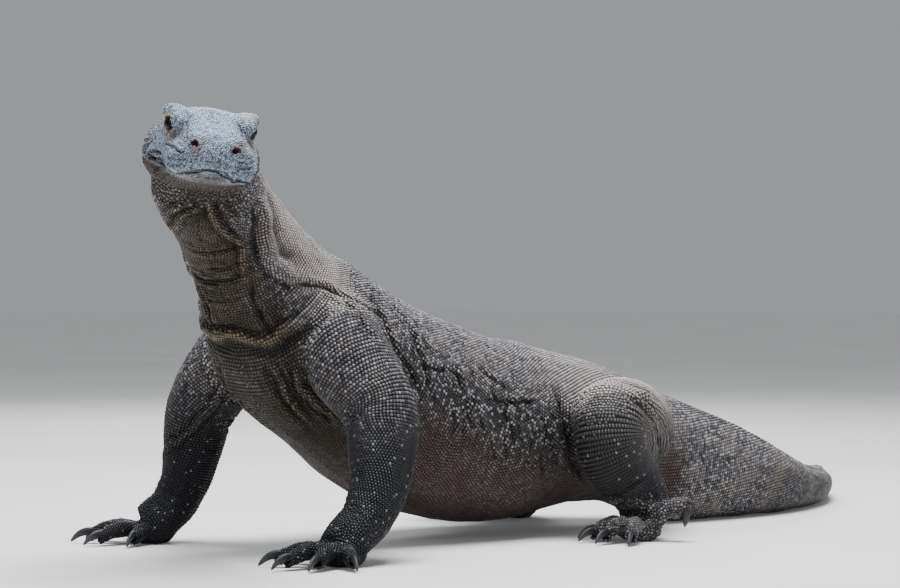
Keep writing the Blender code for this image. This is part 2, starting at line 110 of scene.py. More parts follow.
# %% The lines down the middle of the body and the legs
SPINE = ((.094, -.108, .450), (.061, -.080, .425), (.040, -.031, .384), (.024, .026, .328),
         (.008, .085, .266), (.003, .175, .220), (0, .270, .176), (0, .370, .143), (0, .460, .130),
         (.003, .560, .121), (.012, .650, .107), (.030, .730, .083), (.046, .820, .066), (.048, .910, .050),
         (.028, 1.0, .037), (-.012, 1.095, .028), (-.074, 1.186, .024), (-.150, 1.268, .022),
         (-.250, 1.335, .019), (-.360, 1.382, .016), (-.470, 1.408, .013), (-.575, 1.415, .010),
         (-.670, 1.405, .006))
LIMBS = {
    "arm_left": ((.038, .128, .262), (.080, .097, .240), (.122, .092, .205), (.153, .098, .165),
                 (.168, .086, .120), (.180, .069, .080), (.183, .047, .050), (.182, .022, .026)),
    "arm_right": ((-.030, .135, .255), (-.078, .108, .230), (-.116, .092, .200), (-.144, .084, .160),
                  (-.157, .083, .115), (-.165, .079, .076), (-.173, .066, .046), (-.182, .048, .024)),
    "leg_left": ((.030, .625, .120), (.084, .590, .127), (.130, .530, .142), (.166, .470, .148),
                 (.175, .462, .110), (.184, .482, .076), (.193, .500, .047), (.198, .484, .025)),
    "leg_right": ((-.030, .630, .120), (-.080, .605, .126), (-.124, .565, .140), (-.158, .525, .142),
                  (-.160, .548, .108), (-.150, .600, .074), (-.138, .640, .046), (-.137, .625, .025)),
}
PALMS = {"hand_left": (.181, .033), "hand_right": (-.177, .061), "foot_left": (.198, .501),
         "foot_right": (-.134, .645)}


def dense(points, step=0.002):
    """Points at even steps along a smooth curve through the given ones."""
    known = np.array(points, float) + np.array(SHIFT)
    known = np.vstack([2 * known[0] - known[1], known, 2 * known[-1] - known[-2]])
    made = []
    for a, b, c, d in zip(known, known[1:], known[2:], known[3:]):
        for t in np.arange(16) / 16:
            made.append(0.5 * (2 * b + (c - a) * t + (2 * a - 5 * b + 4 * c - d) * t**2
                               + (3 * b - a - 3 * c + d) * t**3))
    made = np.array(made + [known[-2]])
    run = np.concatenate([[0], np.cumsum(np.linalg.norm(np.diff(made, axis=0), axis=1))])
    even = np.linspace(0, run[-1], int(run[-1] / step))
    return np.stack([np.interp(even, run, made[:, axis]) for axis in range(3)], axis=1)


def tree_of(points):
    """Finds which of these points is nearest to a place."""
    tree = KDTree(len(points))
    for k, point in enumerate(points):
        tree.insert(point, k)
    tree.balance()
    return tree


class Track:
    """A line down the middle of a part, with its direction and an upward and a sideways axis at each step."""

    def __init__(self, points, upward=(0, 0, 1), step=0.002):
        self.points = dense(points, step)
        ahead = np.gradient(self.points, axis=0)
        wide = 9
        padded = np.pad(ahead, ((wide, wide), (0, 0)), mode="edge")
        ahead = sum(padded[k:k + len(ahead)] for k in range(2 * wide + 1))
        self.ahead = ahead / np.linalg.norm(ahead, axis=1)[:, None]
        side = np.cross(self.ahead, np.array(upward, float))
        self.side = side / np.linalg.norm(side, axis=1)[:, None]
        self.up = np.cross(self.side, self.ahead)
        gaps = np.linalg.norm(np.diff(self.points, axis=0), axis=1)
        self.run = np.concatenate([[0], np.cumsum(gaps)])
        self.length = self.run[-1]
        self.tree = tree_of(self.points)

    def at(self, run, values=None):
        """The line's point, or another of its values, at a distance along it."""
        values = self.points if values is None else values
        return np.stack([np.interp(run, self.run, values[:, axis]) for axis in range(3)], axis=-1)

    def nearest(self, points):
        return np.array([self.tree.find(point)[1] for point in points])


spine = Track(SPINE)
limbs = {name: Track(line, upward=(0, -0.35, 1)) for name, line in LIMBS.items()}
print("spine", round(spine.length, 3), "m;", {n: round(t.length, 3) for n, t in limbs.items()})


# %% [markdown]
# ## The form under the skin
#
# The CAD flesh is faceted and cut into nodes. A voxel remesh of all the nodes together closes the thin cuts
# and gives an even grid of points, and smoothing takes the facets off without thinning the toes. Plain
# smoothing shrinks a shape, so each pass inwards is followed by a slightly stronger pass outwards. The
# result is one closed skin with points close enough together to be pushed about like clay.

# %% Helpers for meshes and rows of points
def add_piece(name, mesh):
    piece = bpy.data.objects.new(name, mesh)
    bpy.context.scene.collection.objects.link(piece)
    return piece


def mesh_from(bm, name):
    """Turns a bmesh into a mesh and frees it."""
    mesh = bpy.data.meshes.new(name)
    bm.to_mesh(mesh)
    bm.free()
    return mesh


def shade_smooth(mesh):
    mesh.polygons.foreach_set("use_smooth", np.ones(len(mesh.polygons), bool))


def applied(piece, **modifiers):
    """The piece's mesh with modifiers added and applied; the piece itself goes."""
    for kind, settings in modifiers.items():
        added = piece.modifiers.new(kind, kind)
        for name, value in settings.items():
            setattr(added, name, value)
    graph = bpy.context.evaluated_depsgraph_get()
    mesh = bpy.data.meshes.new_from_object(piece.evaluated_get(graph))
    bpy.data.objects.remove(piece)
    return mesh


def points_of(mesh):
    flat = np.zeros(len(mesh.vertices) * 3)
    mesh.vertices.foreach_get("co", flat)
    return flat.reshape(-1, 3)


def edges_of(mesh):
    flat = np.zeros(len(mesh.edges) * 2, int)
    mesh.edges.foreach_get("vertices", flat)
    return flat.reshape(-1, 2)


def normals_of(mesh):
    flat = np.zeros(len(mesh.vertices) * 3)
    mesh.vertex_normals.foreach_get("vector", flat)
    return flat.reshape(-1, 3)


def place_points(mesh, points):
    """Moves all points of a mesh."""
    mesh.vertices.foreach_set("co", np.asarray(points, float).ravel())
    mesh.update()


def averaged(values, edges):
    """Each point's mean over its neighbours, for one value or three a point."""
    columns = values.reshape(len(values), -1).T
    count = np.bincount(edges.ravel(), minlength=len(values))
    sums = [np.bincount(edges[:, 0], column[edges[:, 1]], len(values))
            + np.bincount(edges[:, 1], column[edges[:, 0]], len(values)) for column in columns]
    return (np.stack(sums, axis=1) / count[:, None]).reshape(values.shape)


def smoothed(points, edges, rounds, weight):
    """Smooths where the weight is 1, keeping the volume."""
    for step in range(2 * rounds):
        share = 0.5 if step % 2 == 0 else -0.52
        points = points + weight[:, None] * share * (averaged(points, edges) - points)
    return points


def bump(distance, width):
    """1 at no distance, fading to nearly 0 at twice the width."""
    return np.exp(-(distance / width)**2)


def ramp(values, low, high):
    """From 0 at low to 1 at high, with soft ends."""
    share = np.clip((values - low) / (high - low), 0, 1)
    return share * share * (3 - 2 * share)


# %% One closed skin from the flesh
LIDS = 0.0011  # how far the lids lie outside the eyeball
COAT = 0.0009  # the skin lies this far inside the flesh, to leave room for the scales
OVERLAP = 0.0004  # each part is grown by this much, which closes the thin cuts between them
GRAIN = 0.0026


def flesh_and_lids():
    """All the flesh, with a ball round each eye for the lids to be made from."""
    bm = bmesh.new()
    for name in flesh_nodes:
        part = bmesh.new()
        part.from_mesh(nodes[name].data)
        bmesh.ops.remove_doubles(part, verts=part.verts, dist=1e-5)
        part.normal_update()
        for vert in part.verts:
            vert.co += vert.normal * OVERLAP
        grown = mesh_from(part, "grown")
        bm.from_mesh(grown)
        bpy.data.meshes.remove(grown)
    for middle in EYES.values():
        bmesh.ops.create_uvsphere(bm, u_segments=32, v_segments=16, radius=EYE_RADIUS + LIDS,
                                  matrix=Matrix.Translation(middle))
    return add_piece("flesh", mesh_from(bm, "flesh"))


skin = applied(flesh_and_lids(), REMESH={"mode": "VOXEL", "voxel_size": GRAIN})
grid = edges_of(skin)
form = points_of(skin)
print("the remeshed skin has", len(form), "points")

# %% Which CAD node each point of the skin belongs to
cad_points, cad_faces, face_node = [], [], []
for number, name in enumerate(flesh_nodes):
    start = len(cad_points)
    cad_points.extend(vert.co.copy() for vert in nodes[name].data.vertices)
    for face in nodes[name].data.polygons:
        cad_faces.append([start + k for k in face.vertices])
        face_node.append(number)
cad_surface = BVHTree.FromPolygons(cad_points, cad_faces)
face_node = np.array(face_node)


def node_numbers(points):
    """The number of the CAD node that is nearest to each point."""
    return face_node[[cad_surface.find_nearest(point)[2] for point in points]]


# What the names of the nodes of each region start with.
SKULL = ("head", "lower_jaw")
TRUNK = ("neck", "chest", "belly", "pelvis", "tail")
LIMB = ("upper", "forearm", "thigh", "shin")
FEET = ("hand", "foot")


def on_nodes(numbers, *names):
    """Which of these node numbers belong to nodes whose names start so."""
    wanted = [k for k, name in enumerate(flesh_nodes) if name.startswith(names)]
    return np.isin(numbers, wanted)


belongs = node_numbers(form)
print(int(on_nodes(belongs, *SKULL).sum()), "points belong to the head and jaw")

# %% Smooth the facets off
head_here = on_nodes(belongs, *SKULL).astype(float)
hands_here = on_nodes(belongs, *FEET).astype(float)
limbs_here = on_nodes(belongs, *LIMB).astype(float)
for step in range(12):
    head_here, hands_here, limbs_here = (averaged(v, grid) for v in (head_here, hands_here, limbs_here))
trunk_here = np.clip(1 - head_here - hands_here - limbs_here, 0, 1)
ROUNDS = ((40, trunk_here), (16, limbs_here), (6, head_here), (4, hands_here))
for rounds, weight in ROUNDS:
    form = smoothed(form, grid, rounds, np.clip(1.6 * weight, 0, 1))
place_points(skin, form)
form = form - normals_of(skin) * COAT
place_points(skin, form)
print("smoothed; lowest point", round(form[:, 2].min(), 5))


# %% [markdown]
# ## Folds and creases
#
# The skin of a big monitor is a size too large. It hangs in folds round the throat and the root of the neck,
# gathers behind each elbow and knee, and wrinkles along the flank. Each fold is a line on the skin, given by
# a few stations: how far along the spine, and how far round from the middle of the back. Points near the
# line are pushed out into a ridge or in to a groove. The main folds are written for the left side, which
# faces the viewer, and laid again on the right with their places a little changed, because no animal is
# exactly even. Behind the shoulder short slack wrinkles are scattered between the main folds, and the
# finest wrinkles come from noise that is stretched across the body.

# %% Noise over space
def wander(points, size, seed=0, stretch=(1, 1, 1)):
    """Smooth noise from -1 to 1 with features about this size."""
    spots = np.asarray(points) / (size * np.array(stretch, float)) + seed * 17.31
    cell = np.floor(spots).astype(np.int64)
    part = spots - cell
    part = part * part * (3 - 2 * part)
    total = np.zeros(len(spots))
    for corner in range(8):
        step = np.array([corner & 1, corner >> 1 & 1, corner >> 2 & 1])
        key = ((cell + step) * np.array([73856093, 19349663, 83492791])).sum(axis=1) + seed * 7919
        key = (key ^ (key >> 13)) * 1274126177 & 0x7FFFFFFF
        value = ((key ^ (key >> 15)) & 0xFFFF) / 32767.5 - 1
        total += value * np.prod(np.where(step, part, 1 - part), axis=1)
    return total


print("over the skin the noise averages", wander(form, 0.05).mean().round(3))


# %% Finer points on the head, and the body's own coordinates for every point
def finer_head(mesh, places):
    """Splits the grid once where the head is, so that lids, lips and nostrils have points to be made from."""
    bm = bmesh.new()
    bm.from_mesh(mesh)
    bm.verts.ensure_lookup_table()
    near = (places[:, 0] > -0.02) & (places[:, 2] > -0.055)
    edges = [edge for edge in bm.edges if near[edge.verts[0].index] and near[edge.verts[1].index]]
    bmesh.ops.subdivide_edges(bm, edges=edges, cuts=1, use_grid_fill=True)
    bmesh.ops.triangulate(bm, faces=[face for face in bm.faces if len(face.verts) > 4])
    bm.to_mesh(mesh)
    bm.free()


finer_head(skin, head_places(form))
form, grid, normals = points_of(skin), edges_of(skin), normals_of(skin)
belongs = node_numbers(form)
on_head = head_places(form)
forward, left, up = on_head.T
surface = BVHTree.FromPolygons([Vector(p) for p in form], [list(face.vertices) for face in skin.polygons])


def round_spine(points):
    """How far along the spine each point is, and its angle from the middle of the back, left being more."""
    near = spine.nearest(points)
    out = points - spine.points[near]
    across = (out * spine.side[near]).sum(axis=1)
    above = (out * spine.up[near]).sum(axis=1)
    return spine.run[near], np.degrees(np.arctan2(across, above))


run, turn = round_spine(form)
print(len(form), "points after the head was made finer")


# %% Lines on the skin
def from_line(track, station, angle, reach):
    """The point of the skin at a station along a line, at an angle from its upper side."""
    middle, angle = Vector(track.at(station)), math.radians(angle)
    out = (Vector(track.at(station, track.side)) * math.sin(angle)
           + Vector(track.at(station, track.up)) * math.cos(angle))
    hit = surface.ray_cast(middle, out, reach)[0]
    return hit if hit is not None else middle + out * reach / 5


def from_spine(station, angle):
    return from_line(spine, station, angle, 0.5)


def from_limb(name, station, angle):
    return from_line(limbs[name], station, angle, 0.2)


def spine_line(stations):
    return [from_spine(station, angle) for station, angle in stations]


def limb_line(name, stations):
    return [from_limb(name, station, angle) for station, angle in stations]


def head_line(places):
    return [in_head(*place) for place in places]


def smooth_line(points, step=0.0015):
    """Points at even steps along a smooth curve that lies on the skin."""
    line = dense([Vector(p) - SHIFT for p in points], step)
    return np.array([surface.find_nearest(point)[0] for point in line])


lift = np.zeros(len(form))  # how far each point is pushed out along its normal
# crest also steers colour: the backs of folds are painted paler, and grooves, pits, the eye openings and the
# mouth line are painted dark as painted shade.
crest = np.zeros(len(form))  # 1 on the back of a fold, -1 in the bottom of a groove


def lay_fold(points, height, width, far_width=None, groove=0.5, waver=0.0025, seed=0):
    """A ridge along a line, or a groove where height is negative. far_width is for the side on its left."""
    global lift, crest
    line = smooth_line(points)
    low, high = line.min(axis=0) - 5 * width, line.max(axis=0) + 5 * width
    close = np.flatnonzero(((form > low) & (form < high)).all(axis=1))
    if not len(close):
        return
    tree = tree_of(line)
    ahead = np.gradient(line, axis=0)
    spots = form[close]
    shaken = spots + waver * np.stack([wander(spots, 0.016, seed + k) for k in range(3)], axis=1)
    found = [tree.find(spot) for spot in shaken]
    index = np.array([item[1] for item in found])
    gap = np.array([item[2] for item in found])
    which = (np.cross(ahead[index], shaken - line[index]) * normals[close]).sum(axis=1)
    wide = np.where(which > 0, width if far_width is None else far_width, width)
    share = index / (len(line) - 1)
    ends = np.clip(np.minimum(share, 1 - share) * 6, 0, 1)**0.7
    shape = bump(gap, wide) - groove * bump(gap - 2.0 * wide, 0.9 * wide)
    shape *= ends * (0.85 + 0.25 * wander(spots, 0.02, seed + 5))
    lift[close] += height * shape
    crest[close] += math.copysign(1, height) * shape


def both_sides(stations, height, width, far_width=None, groove=0.5, seed=0):
    """Lays a fold given by spine stations and angles on the left, and a varied one on the right."""
    lay_fold(spine_line(stations), height, width, far_width, groove, seed=seed)
    other = [from_spine(s + 0.006 * math.sin(seed + k), -a + 3 * math.cos(seed * 2 + k))
             for k, (s, a) in enumerate(stations)]
    back = far_width is not None
    lay_fold(other, height, far_width if back else width, width if back else None, groove, seed=seed + 50)


print("the back over the hips is at", [round(v, 3) for v in from_spine(0.76, 0)])


# %% Folds of the throat and neck
# Under the jaw a bundle of folds starts at the chin and spreads down both sides of the throat.
for k, line in enumerate((
        ((.056, .019, -.050), (.047, .018, -.067), (.040, .026, -.083), (.030, .039, -.096),
         (.017, .065, -.109)),
        ((.054, .026, -.050), (.046, .036, -.069), (.032, .050, -.085), (.022, .061, -.097),
         (.012, .073, -.104)),
        ((.023, .056, -.101), (.015, .066, -.113), (.008, .069, -.135), (.001, .070, -.155)),
        ((.054, .010, -.052), (.047, .008, -.064), (.033, -.010, -.078), (.004, -.017, -.096),
         (-.02, -.03, -.11)),
        ((.050, .002, -.052), (.040, -.010, -.066), (.026, -.026, -.078), (.002, -.036, -.092)))):
    lay_fold(head_line(line), 0.0036, 0.0034, seed=k)
for k, (stations, height, width) in enumerate((
        (((.112, 131), (.110, 160), (.108, -175), (.106, -150)), -0.0022, 0.0028),
        (((.150, 134), (.152, 160), (.154, -170), (.150, -140)), -0.0030, 0.0032),
        (((.135, 140), (.136, 165), (.134, -170)), -0.0014, 0.0022),
        (((.176, 150), (.180, 172), (.182, -165), (.176, -150)), -0.0012, 0.0024))):
    lay_fold(spine_line(stations), height, width, seed=20 + k)
# The loose edge of the skin on the side of the neck, with a deep pocket in front of it.
both_sides(((.078, 96), (.108, 100), (.130, 113), (.154, 120), (.168, 121), (.188, 114), (.210, 104)),
           0.0070, 0.0045, 0.011, groove=0.7, seed=31)
both_sides(((.074, 108), (.102, 116), (.126, 127), (.150, 131)), -0.0060, 0.0060, groove=0.2, seed=33)
both_sides(((.164, 147), (.194, 154), (.224, 154), (.236, 150)), -0.0034, 0.0036, seed=35)
both_sides(((.190, 120), (.204, 127), (.220, 134)), 0.0024, 0.0022, seed=37)
# The gular fold crosses the root of the neck and climbs to the shoulder.
lay_fold(spine_line(((.242, 86), (.235, 104), (.236, 121), (.235, 140), (.238, 152), (.232, 166),
                     (.224, -178), (.230, -153), (.236, -130), (.238, -104), (.244, -86))),
         0.0042, 0.0040, 0.0085, groove=0.9, seed=39)
print("throat and neck folds; the highest lift is", round(lift.max() * 1000, 1), "mm")

# %% Folds of the chest, shoulder and flank
both_sides(((.192, 117), (.215, 101), (.238, 85), (.256, 80), (.270, 80), (.300, 74), (.350, 66)),
           -0.0042, 0.0038, seed=41)
both_sides(((.252, 82), (.260, 88), (.268, 93), (.282, 98), (.290, 100)), -0.0034, 0.0032, seed=43)
both_sides(((.272, 142), (.296, 145), (.316, 145), (.340, 144), (.360, 146)), 0.0040, 0.0036, groove=0.9,
           seed=45)
both_sides(((.254, 163), (.284, 160), (.306, 161), (.348, 163)), -0.0032, 0.0038, seed=47)
both_sides(((.262, 152), (.290, 152), (.322, 153), (.350, 155)), -0.0018, 0.0030, seed=48)
lay_fold(spine_line(((.250, -156), (.264, -151), (.290, -140), (.312, -131), (.340, -130))),
         0.0030, 0.0034, groove=0.8, seed=49)
# Behind the shoulder and the armpit the skin is gathered in short deep wrinkles.
for k, (stations, depth) in enumerate((
        (((.328, 50), (.334, 60), (.351, 70), (.369, 81), (.385, 87), (.409, 95), (.426, 101)), 5.0),
        (((.360, 46), (.380, 58), (.400, 72), (.420, 84), (.436, 98)), 3.0),
        (((.392, 52), (.410, 64), (.430, 76)), 2.2), (((.415, 87), (.437, 83), (.473, 79), (.486, 82)), 2.8),
        (((.464, 68), (.473, 77), (.493, 88), (.507, 100), (.533, 109)), 3.8),
        (((.500, 84), (.512, 92), (.529, 99), (.543, 107)), 3.2),
        (((.430, 92), (.446, 100), (.458, 108)), 2.6),
        (((.528, 86), (.539, 84), (.575, 81), (.615, 77)), 2.8),
        (((.505, 66), (.517, 69), (.539, 71), (.569, 76)), 2.2),
        (((.560, 88), (.580, 96), (.590, 104)), 2.4), (((.600, 84), (.612, 94), (.616, 104)), 2.2))):
    both_sides(stations, -0.00085 * depth, 0.0032, groove=0.55, seed=60 + 3 * k)
# Between them lie short slack wrinkles.
SLACK_WRINKLES = 34
rng = np.random.default_rng(5)
for k in range(SLACK_WRINKLES):
    start, turned = 0.38 + 0.27 * rng.random(), 64 + 44 * rng.random()
    slant, down, depth = 0.004 + 0.022 * rng.random(), 9 + 10 * rng.random(), 1.0 + 1.2 * rng.random()
    both_sides([(start + slant * t, turned + down * t) for t in (0, 0.5, 1)], -0.001 * depth, 0.0026,
               groove=0.45, seed=400 + 2 * k)
# Deep folds lie in front of the thigh, where the leg is drawn up.
both_sides(((.655, 62), (.662, 75), (.676, 91), (.700, 110), (.750, 128)), -0.0060, 0.0050, 0.0090,
           groove=0.5, seed=85)
both_sides(((.640, 84), (.655, 96), (.680, 112)), 0.0024, 0.0042, seed=87)
print("chest, shoulder and flank folds laid")

# %% Folds of the legs
for name, lines in {
    "arm_left": (((.146, 130), (.161, 175), (.156, -140)), ((.168, 120), (.180, 165), (.176, -150)),
                 ((.192, 130), (.200, 170), (.196, -150))),
    "arm_right": (((.144, 130), (.154, 175), (.150, -140)), ((.169, 120), (.176, 165), (.174, -150))),
    "leg_left": (((.190, -150), (.200, 170), (.196, 120)), ((.222, -150), (.228, 170), (.224, 120)),
                 ((.288, 178), (.297, 130), (.296, 70), (.304, 40)), ((.310, 170), (.314, 110), (.312, 60)),
                 ((.324, 170), (.326, 110), (.326, 50)), ((.298, -40), (.302, -90), (.298, -130))),
    "leg_right": (((.190, -150), (.200, 170), (.196, 120)), ((.300, 100), (.303, 0), (.300, -90)),
                  ((.318, 100), (.320, 0), (.318, -90))),
}.items():
    for k, line in enumerate(lines):
        lay_fold(limb_line(name, line), -0.0018, 0.0028, groove=0.5, seed=100 + k)
# Fine creases ring the wrists.
for name, wrist in (("arm_left", 0.290), ("arm_right", 0.276)):
    for k in range(4):
        around = [(wrist + 0.010 * (k - 1.5) + 0.002 * math.sin(k + a / 50), a) for a in (-80, -30, 20, 75)]
        lay_fold(limb_line(name, around), -0.0008, 0.0016, groove=0.3, waver=0.001, seed=105 + k)
# The thigh's own folds: a groove down its back and a ridge beside it.
lay_fold(limb_line("leg_left", ((.214, -41), (.216, -71), (.186, -110), (.121, -135))),
         -0.0036, 0.0040, groove=0.8, seed=110)
lay_fold(limb_line("leg_left", ((.208, -44), (.180, -77), (.149, -100), (.109, -125), (.060, -138))),
         0.0034, 0.0060, groove=0.9, seed=111)
print("leg folds laid")

# %% Fine wrinkles, muscles and the crest of the tail
flank = (ramp(run, 0.36, 0.44) * (1 - ramp(run, 0.60, 0.72))
         * ramp(abs(turn), 35, 60) * (1 - ramp(abs(turn), 105, 135)))
on_trunk = on_nodes(belongs, *TRUNK).astype(float)
around = np.stack([run, np.radians(turn) * 0.11, np.zeros(len(run))], axis=1)
around[:, 0] += 0.016 * wander(around, 0.05, 3)
ridged = 1 - 2 * abs(wander(around, 0.016, 4, stretch=(1, 3.4, 1)))
lift += on_trunk * flank * 0.0016 * (ridged - 0.3)
crest += on_trunk * flank * 0.35 * (ridged - 0.3)
ringed = wander(around, 0.011, 6, stretch=(1, 6, 1))
neck_zone = on_trunk * (1 - ramp(run, 0.26, 0.36))
lift += neck_zone * 0.0007 * ringed
lift += on_trunk * 0.0016 * wander(form, 0.05, 7) + 0.0004 * wander(form, 0.014, 8)
shoulders = np.array(from_limb("arm_left", 0.085, -10)), np.array(from_limb("arm_right", 0.080, 10))
for place in shoulders:
    lift += 0.0030 * bump(np.linalg.norm(form - place, axis=1), 0.035)
tail = ramp(run, 0.93, 1.02) * (1 - ramp(run, 1.75, 2.0)) * on_trunk


def keel_angle(run):
    """How many degrees from the middle of the back the tail's two keels stand: more towards its tip."""
    return 15 / (0.4 + 0.6 * np.clip((1.7 - run) / 0.8, 0, 1))


for keel in (-1, 1):
    aside = turn - keel * keel_angle(run)
    lift += 0.0022 * tail * bump(aside, 9)
# The raised fifth toe of the left hind foot has a swollen knuckle at the root of its claw.
RAISED_CLAW = "claw_foot_left_5"
raised_claw = points_of(nodes[RAISED_CLAW].data)
knuckle = raised_claw[raised_claw[:, 2].argmax()]
SWELLING, SWELLING_WIDTH = 0.0058, 0.013
gap = np.linalg.norm(form - knuckle, axis=1)
lift += SWELLING * on_nodes(belongs, "foot_left") * bump(gap, SWELLING_WIDTH)
print("tail keels on", int((tail > 0.5).sum()), "points")

# %% [markdown]
# ## The head
#
# A Komodo dragon's head seen from in front is a broad wedge: brow ridges that shade the eyes, a flat crown, a
# blunt snout with a nostril on each side, and a long closed mouth with soft lips. Each of these is a smooth
# push along the surface, described in the head's own frame. The lids are made by drawing the skin in to a
# shell around the eyeball and then opening an almond in it.

# %% Brows, cheeks, snout and lips
fade = on_nodes(belongs, *SKULL, "neck").astype(float)


def at_head(f, l, u, width, mirrored=True):
    """1 at a place on the head and on its mirror image, fading over a distance, which may differ by axis."""
    place = np.array([f, l, u])
    beside = on_head * np.array([1, -1, 1])
    one = np.exp(-(((on_head - place) / width)**2).sum(axis=1))
    return one + np.exp(-(((beside - place) / width)**2).sum(axis=1)) if mirrored and l else one


gap_to_mouth = up - mouth_height(on_head)
lips = ramp(forward, 0.055, 0.070) * fade
shape = np.zeros(len(form))
shape += 0.0020 * at_head(.094, .044, .039, (.030, .008, .008))  # brow ridge
shape += 0.0012 * at_head(.122, .036, .037, (.016, .008, .008))
shape += 0.0026 * at_head(.088, .047, .041, (.010, .007, .007))  # knob on top of the brow
shape += 0.0014 * at_head(.148, .031, .030, (.022, .007, .007))  # ridge from the eye to the nostril
shape -= 0.0026 * at_head(.134, .045, .020, (.014, .012, .008))  # hollow in front of the eye
shape += 0.0030 * at_head(.036, .060, -.008, (.024, .014, .020))  # jaw muscle
shape -= 0.0026 * at_head(.064, .056, .012, (.016, .012, .012))  # hollow behind the eye
shape += 0.0040 * at_head(.098, .028, .040, (.034, .011, .012))  # the crown meets the brows
shape += 0.0016 * at_head(.183, .0205, .0175, (.009, .009, .009))  # swelling round the nostril
shape += 0.0024 * at_head(.160, .041, -.008, (.016, .010, .009))  # roll of the lip below the eye
shape += 0.0036 * at_head(.170, .033, -.017, (.014, .011, .008), mirrored=False)
shape -= 0.0026 * at_head(.112, .050, -.012, (.015, .010, .007))  # hollow behind that roll
shape -= 0.0012 * at_head(.126, .042, .017, (.011, .009, .008)) * wander(form, 0.0035, 60)
shape += 0.0010 * lips * bump(gap_to_mouth - 0.0050, 0.0036)  # upper lip
shape += 0.0008 * lips * bump(gap_to_mouth + 0.0050, 0.0036)  # lower lip
shape -= 0.0010 * lips * bump(gap_to_mouth - 0.0105, 0.0030)
shape -= 0.0009 * lips * bump(gap_to_mouth + 0.0110, 0.0034)
shape -= 0.0034 * lips * bump(gap_to_mouth, 0.0011)
soft_lips = lips * bump(gap_to_mouth, 0.0026)
lift += shape * fade
print("lips and brows; head points:", int((fade > 0.5).sum()))

# %% Wrinkles of the snout and cheek
# Each line is followed by its height, less than nothing for a groove, and its width, in millimetres.
EACH_SIDE = (
    (((.110, .019, .0400), (.126, .027, .0354), (.138, .028, .030), (.157, .029, .0244), (.176, .029, .018)),
     -1.0, 1.3),
    (((.064, .057, -.009), (.085, .054, -.005), (.111, .050, -.002)), -1.8, 1.5),
    (((.061, .057, -.016), (.085, .053, -.0115), (.106, .049, -.009)), -1.6, 1.4),
    (((.060, .058, .002), (.050, .061, -.008), (.036, .062, -.018), (.020, .062, -.026)), -2.2, 2.2),
    (((.052, .060, .004), (.038, .062, -.002), (.026, .062, -.002)), -1.4, 1.8),
    (((.110, .050, -.024), (.085, .052, -.024), (.060, .052, -.030)), -1.2, 1.8),
    (((.120, .040, -.028), (.095, .044, -.032), (.070, .044, -.038)), -1.2, 2.0))
RIGHT_SIDE = (
    (((.118, -.050, .006), (.126, -.048, .008), (.151, -.043, .0096), (.173, -.037, .0085),
      (.182, -.027, .0108)), -1.7, 1.3),
    (((.150, -.044, .0050), (.173, -.038, .0042), (.182, -.0285, .0062)), 1.0, 1.5),
    (((.150, -.044, -.001), (.173, -.039, -.0008), (.182, -.029, .0015)), -1.5, 1.2),
    (((.148, -.043, -.0064), (.168, -.039, -.0062), (.179, -.033, -.0040)), -1.0, 1.1))
LEFT_SIDE = (
    (((.187, .019, .0064), (.184, .026, .0040), (.1785, .034, .0034), (.162, .042, .0040)), -1.5, 1.2),
    (((.187, .018, .0018), (.1845, .026, -.0008), (.1826, .030, -.0016), (.1777, .0355, -.0007),
      (.164, .041, .0)), -1.5, 1.2),
    (((.1855, .022, -.0035), (.183, .027, -.0061), (.175, .036, -.0052), (.163, .041, -.005)), -1.3, 1.1),
    (((.184, .023, .0100), (.180, .031, .0085), (.172, .037, .009), (.150, .043, .010)), -1.2, 1.2))
mirrored = tuple((tuple((f, -l, u) for f, l, u in line), height, width) for line, height, width in EACH_SIDE)
for k, (line, height, width) in enumerate(EACH_SIDE + mirrored + RIGHT_SIDE + LEFT_SIDE):
    lay_fold(head_line(line), 0.001 * height, 0.001 * width, waver=0.001, seed=130 + k)
form = form + normals * lift[:, None]
place_points(skin, form)
print("pushed by up to", round(abs(lift).max() * 1000, 1), "mm")

# %% Nostrils and ears are pits, pressed along one direction so that their edges stay clean
bare = (soft_lips > 0.82).astype(float)  # 1 where no scale may stand
# The line of the mouth is painted dark, as painted shade in the crease between the lips.
crest -= 0.9 * lips * bump(gap_to_mouth, 0.0007)
lip_skin = 0.50 * ramp(soft_lips, 0.25, 0.60)


def press_pit(centre, inward, radii, depth, rim, turned=0):
    """Presses an oval pit into the head. centre and inward are in the head's frame."""
    global form
    inward = np.array(inward, float) / np.linalg.norm(inward)
    first = np.cross(inward, (math.sin(turned), 0, math.cos(turned)))
    first /= np.linalg.norm(first)
    second = np.cross(inward, first)
    out = head_places(form) - np.array(centre)
    oval = np.hypot(out @ first / radii[0], out @ second / radii[1])
    near = abs(out @ inward) < 0.018
    push = near * (depth * (1 - ramp(oval, 0.55, 1.0)) - rim * bump(oval - 1.25, 0.3))
    form = form + push[:, None] * (np.array(head_turn) @ inward)
    bare[near & (oval < 0.95)] = 1
    # The inside of each pit is painted dark: painted shade.
    crest[near & (oval < 1.0)] = -1


NOSTRILS = (((.1821, -.0223, .0186), (-.75, .60, -.25)), ((.1851, .0186, .0156), (-.75, -.60, -.25)))
for centre, inward in NOSTRILS:
    press_pit(centre, inward, (.0045, .0033), .0062, .0016, 0.4)
for mirror in (-1, 1):
    press_pit((.012, mirror * .0600, .0060), (.15, -mirror, 0), (.0050, .0078), .0060, .0012, 0.2)
place_points(skin, form)
print("bare points:", int(bare.sum()))

